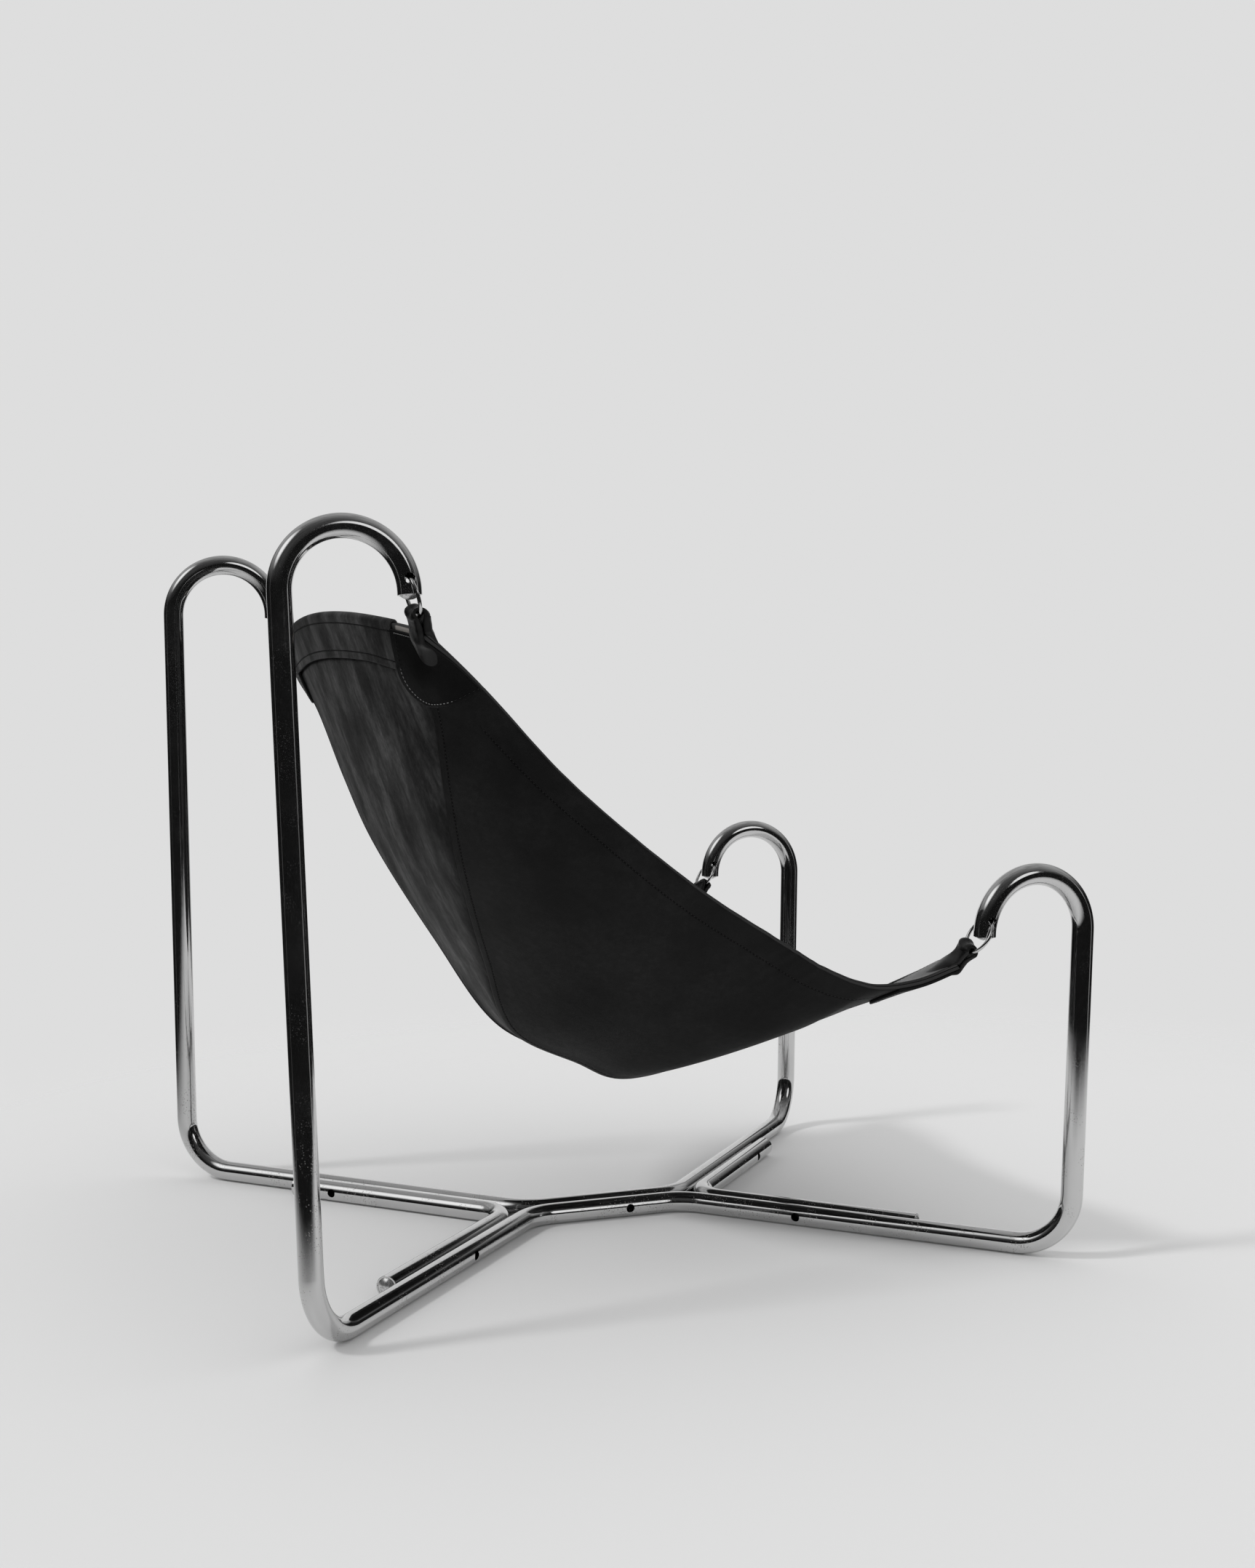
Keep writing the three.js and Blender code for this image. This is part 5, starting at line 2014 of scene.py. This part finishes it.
        def face(radius: Array | float) -> Array:
            """Points at a distance from the panel's middle surface, round the fold."""
            place = self.form.layer(row, column, radius * np.cos(tilt) + sway)
            return place - top[None] * (radius * np.sin(tilt))[..., None]

        outer = face(self.stack + lip - self.groove * pressed)
        inner = face(self.leather / 2 + GAP)
        groove = np.broadcast_to(pressed, outer.shape[:2])
        return leather_shell(outer, inner, self.band_bulge, groove)

    def arm_hem_strip(self, side: Side) -> Solid:
        """Hem turned in along an arm edge, between the corner linings.

        Args:
            side: the chair's side.

        Returns:
            The hem, closed.
        """
        start = self.patch_rows["rear"] + self.form.row_span(self.patch_rows["rear"], 0.0, GAP)
        end = 1 - self.patch_rows["front"] - self.form.row_span(1 - self.patch_rows["front"], 0.0, GAP)
        rows = np.linspace(start, end, 161)[:, None]
        width = self.form.columns_at(rows[:, 0], np.array([self.arm_hem]))
        column = width * np.linspace(0, 1, 15)
        low, high = self.leather / 2 + GAP, self.stack
        return self.sheet(self.on_side((rows, column), side), -low, -high, self.trim_bulge)

    def front_hem_strip(self) -> Solid:
        """Hem turned in along the front edge, between the corner linings.

        Returns:
            The hem, closed.
        """
        start = self.patch_column["front"]
        start = start + float(self.form.column_span(np.array([1.0]), start, GAP)[0])
        rows = np.linspace(1 - self.hem_rows, 1, 13)[:, None]
        column = np.linspace(start, 1 - start, 121)[None, :]
        low, high = self.leather / 2 + GAP, self.stack
        return self.sheet((rows, column), -low, -high, self.trim_bulge)

    def loop(self, end: End, side: Side) -> Solid:
        """Strap rolled round a ring, whose legs lie on the patch and the lining of the corner and taper out.

        Args:
            end: end of the chair.
            side: side of the chair.

        Returns:
            The strap, closed.
        """
        hanger, rings, shape = self.hangers[end.name], self.rings, LOOPS[end.name]
        edge_row = 0.0 if end is REAR else 1.0
        last = self.form.column_at(edge_row, self.loop_base)
        share = np.linspace(-0.5, 0.5, 25)
        thick = np.cross(hanger.across, hanger.pull)
        down, over = self.form.steps(np.array([edge_row]), np.array([last / 2]))
        thick = thick * math.copysign(1, float(np.cross(over[0], down[0]) @ thick))
        roll = rings.wire + self.loop_play + self.trim / 2
        turn = share * shape.width / rings.radius
        radial = np.cos(turn)[:, None] * hanger.pull + np.sin(turn)[:, None] * hanger.across
        span = self.form.row_span(abs(edge_row - 0.03), last / 2, shape.reach)

        def round_wire(angle: float) -> Array:
            """Line along the ring, turned round its wire."""
            reach = rings.radius - roll * math.sin(angle)
            return hanger.centre + radial * reach + thick * roll * math.cos(angle)

        def neck(line: NeckLine, sign: int) -> Array:
            """Line across the strap between the ring and the sling."""
            across = hanger.across * (share * shape.width * shape.neck)[:, None]
            return hanger.wire + hanger.pull * line.ahead + across + thick * sign * (self.stack - line.pinch)

        def leg(line: LegLine, sign: int) -> Array:
            """Line across a leg where it lies on the sling.

            Args:
                line: the line.
                sign: 1 on the outside, -1 on the inside.

            Returns:
                Its points.
            """
            row = np.full(share.shape, abs(edge_row - span * line.back))
            lift = self.stack + line.lift - line.sink * (2 * share) ** 2
            return self.form.layer(row, last * (0.5 + share * line.width), sign * lift)

        legs = [[leg(n, sign) for n in LEG_LINES] + [neck(n, sign) for n in NECK_LINES] for sign in (1, -1)]
        turns = [round_wire(math.radians(angle)) for angle in WRAP_ANGLES]
        line = np.stack(legs[0] + turns + legs[1][::-1], 0)
        walk = np.linspace(0, 1, 120)
        middle = np.stack([curve_at(line[:, j], walk) for j in range(len(share))], 1)
        out = unit(np.cross(np.gradient(middle, axis=0), np.gradient(middle, axis=1)))
        top = len(walk) // 2, len(share) // 2
        if float(out[top] @ (middle[top] - hanger.wire)) < 0:
            out = -out
        stop = np.arange(len(line)) / (len(line) - 1)
        ends = [n.thick for n in (*LEG_LINES, *NECK_LINES)]
        depths = np.array(ends + [WRAP_THICK] * len(turns) + ends[::-1])
        lining = np.interp(walk, stop, depths * MM)
        strap = np.minimum(lining, self.trim / 2)
        plump = np.interp(walk, stop, np.array([*shape.outer_plump, *shape.inner_plump[::-1]]) * MM)
        pinch = 1 - 0.5 * (2 * share) ** 6
        outer = middle + out * (strap[:, None] + plump[:, None] * pinch)[..., None]
        inner = middle - out * lining[:, None, None]
        return leather_shell(mirrored(outer, side), mirrored(inner, side), self.loop_bulge)

    def add_line(self, thread: str, row: Array, column: Array, offset: float, side: Side) -> None:
        """Notes a line of stitches at an offset from the middle surface.

        Args:
            thread: name of the thread.
            row: rows of the sling.
            column: columns of the sling.
            offset: height over the middle surface.
            side: the chair's side.
        """
        row, column = self.on_side((np.asarray(row, float), np.asarray(column, float)), side)
        down, over = self.form.steps(row, column)
        normal = unit(np.cross(over, down)) * math.copysign(1, offset)
        points = self.form.layer(row, column, offset + self.relief(row, column))
        self.lines.setdefault(thread, []).append((points, normal))

    def patch_lines(self, end: End, side: Side, offset: float) -> None:
        """Notes the stitches of a corner patch or lining: pale round its end and top, dark elsewhere.

        Args:
            end: the chair's end.
            side: the chair's side.
            offset: height over the middle surface.
        """
        column = self.patch_columns(end, 30)
        row = self.depth(end, column) * 0.965
        drop = self.band_rows * self.patch_drop / self.band_height
        last, near = self.patch_column[end.name] * 0.97, 0.004
        column = near + column * (last - near) / column[-1]
        rise = np.linspace(row[-1], drop + 0.005, 14)
        split = int(np.searchsorted(column, 0.45 * last))
        lines = [
            ("dark", row[: split + 1], column[: split + 1]),
            ("pale", row[split:], column[split:]),
            ("dark", rise, np.full(14, last)),
            ("pale", np.full(12, drop + 0.004), np.linspace(last, last * 0.42, 12)),
        ]
        for thread, rows, columns in lines:
            self.add_line(thread, rows if end is REAR else 1 - rows, columns, offset, side)

    def stitch_lines(self) -> None:
        """Notes every line of stitches."""
        face, depth = self.leather / 2, self.groove * 0.6
        rows = np.linspace(self.patch_rows["rear"] + 0.004, 0.948, 220)
        seam = self.form.walked(rows, np.linspace(0, self.seam_column, 101))[:, -1:]
        level = np.linspace(self.patch_rows["rear"] + 0.042, 1 - self.patch_rows["front"] - 0.004, 160)
        stitched = self.form.columns_at(rows, seam - self.lap_stitch)[:, 0]
        hemmed = self.form.columns_at(level, np.array([self.arm_hem - self.hem_stitch]))[:, 0]
        past, whole = np.array(-self.lap_stitch), np.array(1.0)
        for side in Side:
            self.add_line("dark", rows, stitched, face + float(self.rise(past, whole)) - depth, side)
            self.add_line("dark", rows, stitched, float(self.dip(past, whole)) - face, side)
            self.add_line("dark", level, hemmed, face - depth, side)
            self.add_line("dark", level, hemmed, -self.stack, side)
            for end in ENDS:
                self.patch_lines(end, side, self.stack)
                self.patch_lines(end, side, -self.stack)
        start = self.patch_column["rear"] + self.line_inset
        columns = np.linspace(start, 1 - start, self.line_points)
        for line in self.band_stitches:
            row = np.full(self.line_points, self.band_rows * line / self.band_height)
            for sign in (1, -1):
                self.add_line("dark", row, columns, sign * (self.stack - depth), Side.RIGHT)
        start = self.patch_column["front"] + self.line_inset
        columns = np.linspace(start, 1 - start, self.line_points)
        row = np.full(self.line_points, 1 - self.hem_rows * 0.86)
        for sign, offset in ((1, face), (-1, self.stack)):
            self.add_line("dark", row, columns, sign * offset, Side.RIGHT)

    def stitching(self, thread: str, material: bpy.types.Material) -> bpy.types.Object:
        """Stitches of one thread, as one plain mesh.

        Args:
            thread: name of the thread.
            material: its material.

        Returns:
            The object.
        """
        points, aims, edges = [], [], []
        for line, normal in self.lines[thread]:
            start = sum(len(p) for p in points)
            points.append(line)
            aims.append(normal)
            edges += [(start + k, start + k + 1) for k in range(len(line) - 1)]
        piece = aimed_points(f"{thread}_stitches", np.concatenate(points), np.concatenate(aims), edges)
        values = {"Pitch": self.stitch_pitch, "Size": self.stitch_size, "Material": material}
        RepeatNodes.stitches().run(piece, values)
        piece.data.shade_smooth()
        return piece

    def build(self) -> None:
        """Makes and dresses the leather and its stitches."""
        finishes = (PANEL_LEATHER, TRIM_LEATHER, LINING_LEATHER, LOOP_LEATHER, SHADED_SIDE_LEATHER)
        body, trim, lining, rolled, shaded_flank = (finish.material() for finish in finishes)
        pieces: dict[str, bpy.types.Object] = {}

        def add(solid: Solid, name: str, node: str, finish: bpy.types.Material) -> None:
            """Makes one piece of leather."""
            pieces[name] = dressed(solid.to_object(name), finish, "sling", [node])

        add(self.main_panel(), "back_and_seat_leather", "main_panel", body)
        add(self.band(), "back_hem_band", "rear_hem_band", body)
        add(self.front_hem_strip(), "front_hem_strip", "front_hem", body)
        for side in Side:
            word = side.word
            # Side panels and arm hems take the side leather, whose darker colour is painted shade.
            add(self.side_panel(side), f"{word}_side_leather", f"{word}_side_panel", shaded_flank)
            add(self.arm_hem_strip(side), f"{word}_arm_hem_strip", f"{word}_arm_hem", shaded_flank)
            for end in ENDS:
                corner = f"{end.name}_{word}"
                patch, backing = (self.corner(end, side, face) for face in Face)
                add(patch, f"{corner}_corner_patch", f"{corner}_patch", trim)
                add(backing, f"{corner}_corner_lining", f"{corner}_lining", lining)
                add(self.loop(end, side), f"{corner}_strap_loop", f"{corner}_loop", rolled)
        self.stitch_lines()
        for thread, level in (("dark", 0.004), ("pale", 0.2)):
            piece = self.stitching(thread, ThreadFinish(f"{thread}_thread", level).material())
            pieces[piece.name] = dressed(piece, None, "sling", [])
        self.declare(pieces)

    def declare(self, pieces: dict[str, bpy.types.Object]) -> None:
        """Args:
            pieces: the sling's objects by name.
        """
        trim = [p for n, p in pieces.items() if not n.endswith(("_side_leather", "_seat_leather"))]


# Studio


@dataclass(frozen=True)
class Strip:
    """Upright strip light that the metal sees: bearing from +Y towards +X and half width, in degrees."""

    bearing: float
    half_width: float
    level: float


STRIPS = (Strip(114, 5, 0.42), Strip(-78, 3, 0.09))


@dataclass(frozen=True)
class Lamp:
    """Soft lamp that the metal sees: its direction, and the cosines at which it starts and is full."""

    place: tuple[float, float, float]
    start: float
    full: float
    level: float


LAMPS = (Lamp((-0.68, 0.0, 0.73), 0.88, 0.998, 1.3), Lamp((0.36, -0.83, 0.42), 0.975, 0.985, 1.1))


@dataclass
class Studio:
    """Floor, lamps, world and camera."""

    camera_place: tuple[float, float, float] = (-0.83391, -2.1671, 0.6457)
    yaw: float = 22.05
    pitch: float = -3.06
    roll: float = 0.45
    focal_pixels: float = 2613.2
    horizon_shift: float = 16.0
    sensor: float = 36.0
    floor_drop: float = 0.45 * MM
    floor_radius: float = 2.1
    key_aim: tuple[float, float, float] = (0.68, 0.0, -0.73)
    key_strength: float = 0.84
    key_spread: float = 8.0
    fill: float = 0.79
    backdrop: float = 0.73
    ceiling: float = 0.5
    brightest: float = 2.0
    dim: float = 0.008

    def floor(self) -> None:
        """Round pale floor."""
        centre, up = np.array([0, 0, -self.floor_drop]), np.array([0, 0, 1.0])
        points = ring_points(centre, up, np.array([1.0, 0, 0]), self.floor_radius, 96)
        piece = Solid(points, [list(range(len(points)))]).to_object("studio_floor")
        if piece.data.polygons[0].normal.z < 0:
            piece.data.flip_normals()
        piece.data.materials.append(FloorFinish().material())

    def key(self) -> None:
        """Even key light from behind the chair, with soft shadow edges."""
        data = bpy.data.lights.new("key_light", "SUN")
        data.energy, data.angle = self.key_strength, math.radians(self.key_spread)
        lamp = linked("key_light", data)
        lamp.rotation_euler = Vector(self.key_aim).to_track_quat("-Z", "Y").to_euler()
        lamp.visible_glossy = False

    def world(self) -> None:
        """Pale backdrop, which metal sees beyond the chair, in a dim room with a grey ceiling and lamps."""
        world = bpy.data.worlds.new("studio")
        bpy.context.scene.world = world
        world.use_nodes = True
        book = NodeBook(world.node_tree)
        path = book.node("ShaderNodeLightPath", {}, {})
        way_out = book.node("ShaderNodeTexCoord", {}, {}).out("Generated")
        way = book.node("ShaderNodeSeparateXYZ", {}, {0: way_out})
        east, north, height = way.out("X"), way.out("Y"), way.out("Z")
        ahead = north * VIEW_Y + east * VIEW_X
        beyond = ahead.ramp(0.76, 0.9)
        bearing = book.node("ShaderNodeMath", {"operation": "ARCTAN2"}, {0: east, 1: north}).out(0)
        glow = beyond * self.backdrop
        patchy = book.noise(way_out, 5, 2).ramp(0.3, 0.62) * 0.85 + 0.15
        for strip in STRIPS:
            off = (bearing - math.radians(strip.bearing)).size()
            lit = 1 - off.ramp(math.radians(strip.half_width * 0.6), math.radians(strip.half_width))
            glow = glow.most(lit * patchy * (1 - height.size().ramp(0.55, 0.7)) * strip.level)
        overhead = height.ramp(0.16, 0.6) * (ahead.ramp(-0.75, 0.7) * 0.9 + 0.1)
        glow = glow.most(overhead * (patchy * 0.4 + 0.6) * self.ceiling)
        for lamp in LAMPS:
            facing = {0: way_out, 1: tuple(Vector(lamp.place).normalized())}
            near = book.node("ShaderNodeVectorMath", {"operation": "DOT_PRODUCT"}, facing).out("Value")
            glow = glow.most(near.ramp(lamp.start, lamp.full) ** 2 * lamp.level)
        room = book.mix(glow * (1 / self.brightest), grey(self.dim), grey(self.brightest))
        shown = book.mix(path.out("Is Camera Ray"), room, grey(self.backdrop))
        seen = path.out("Is Camera Ray").most(path.out("Is Glossy Ray"))
        seen = seen.most(path.out("Is Transmission Ray"))
        shader = book.node("ShaderNodeBackground", {}, {"Color": book.mix(seen, grey(self.fill), shown)})
        book.node("ShaderNodeOutputWorld", {}, {"Surface": shader.out(0)})

    def camera(self) -> None:
        """Camera at the photograph's viewing angle."""
        yaw, pitch, roll = (math.radians(a) for a in (self.yaw, self.pitch, self.roll))
        ahead = Vector((math.sin(yaw) * math.cos(pitch), math.cos(yaw) * math.cos(pitch), math.sin(pitch)))
        right = Vector((math.cos(yaw), -math.sin(yaw), 0))
        up = right.cross(ahead)
        right, up = (
            right * math.cos(roll) + up * math.sin(roll),
            up * math.cos(roll) - right * math.sin(roll),
        )
        data = bpy.data.cameras.new("camera")
        data.sensor_fit, data.sensor_width = "AUTO", self.sensor
        data.lens = self.sensor * self.focal_pixels / IMAGE_SIZE[1]
        data.shift_y = self.horizon_shift / IMAGE_SIZE[1]
        data.clip_end = 60
        camera = linked("camera", data)
        turn = Matrix((right, up, -ahead)).transposed().to_4x4()
        camera.matrix_world = Matrix.Translation(self.camera_place) @ turn
        bpy.context.scene.camera = camera

    def build(self) -> None:
        """Sets up the studio."""
        bpy.context.scene.view_settings.view_transform = "Standard"
        self.floor()
        self.key()
        self.world()
        self.camera()


def main() -> None:
    """Builds the chair and its studio."""
    logging.basicConfig(level=logging.INFO, format="%(message)s")
    TubeFrame().build()
    rings = Rings()
    rings.build()
    Sling(rings).build()
    Studio().build()


if __name__ == "__main__":
    main()
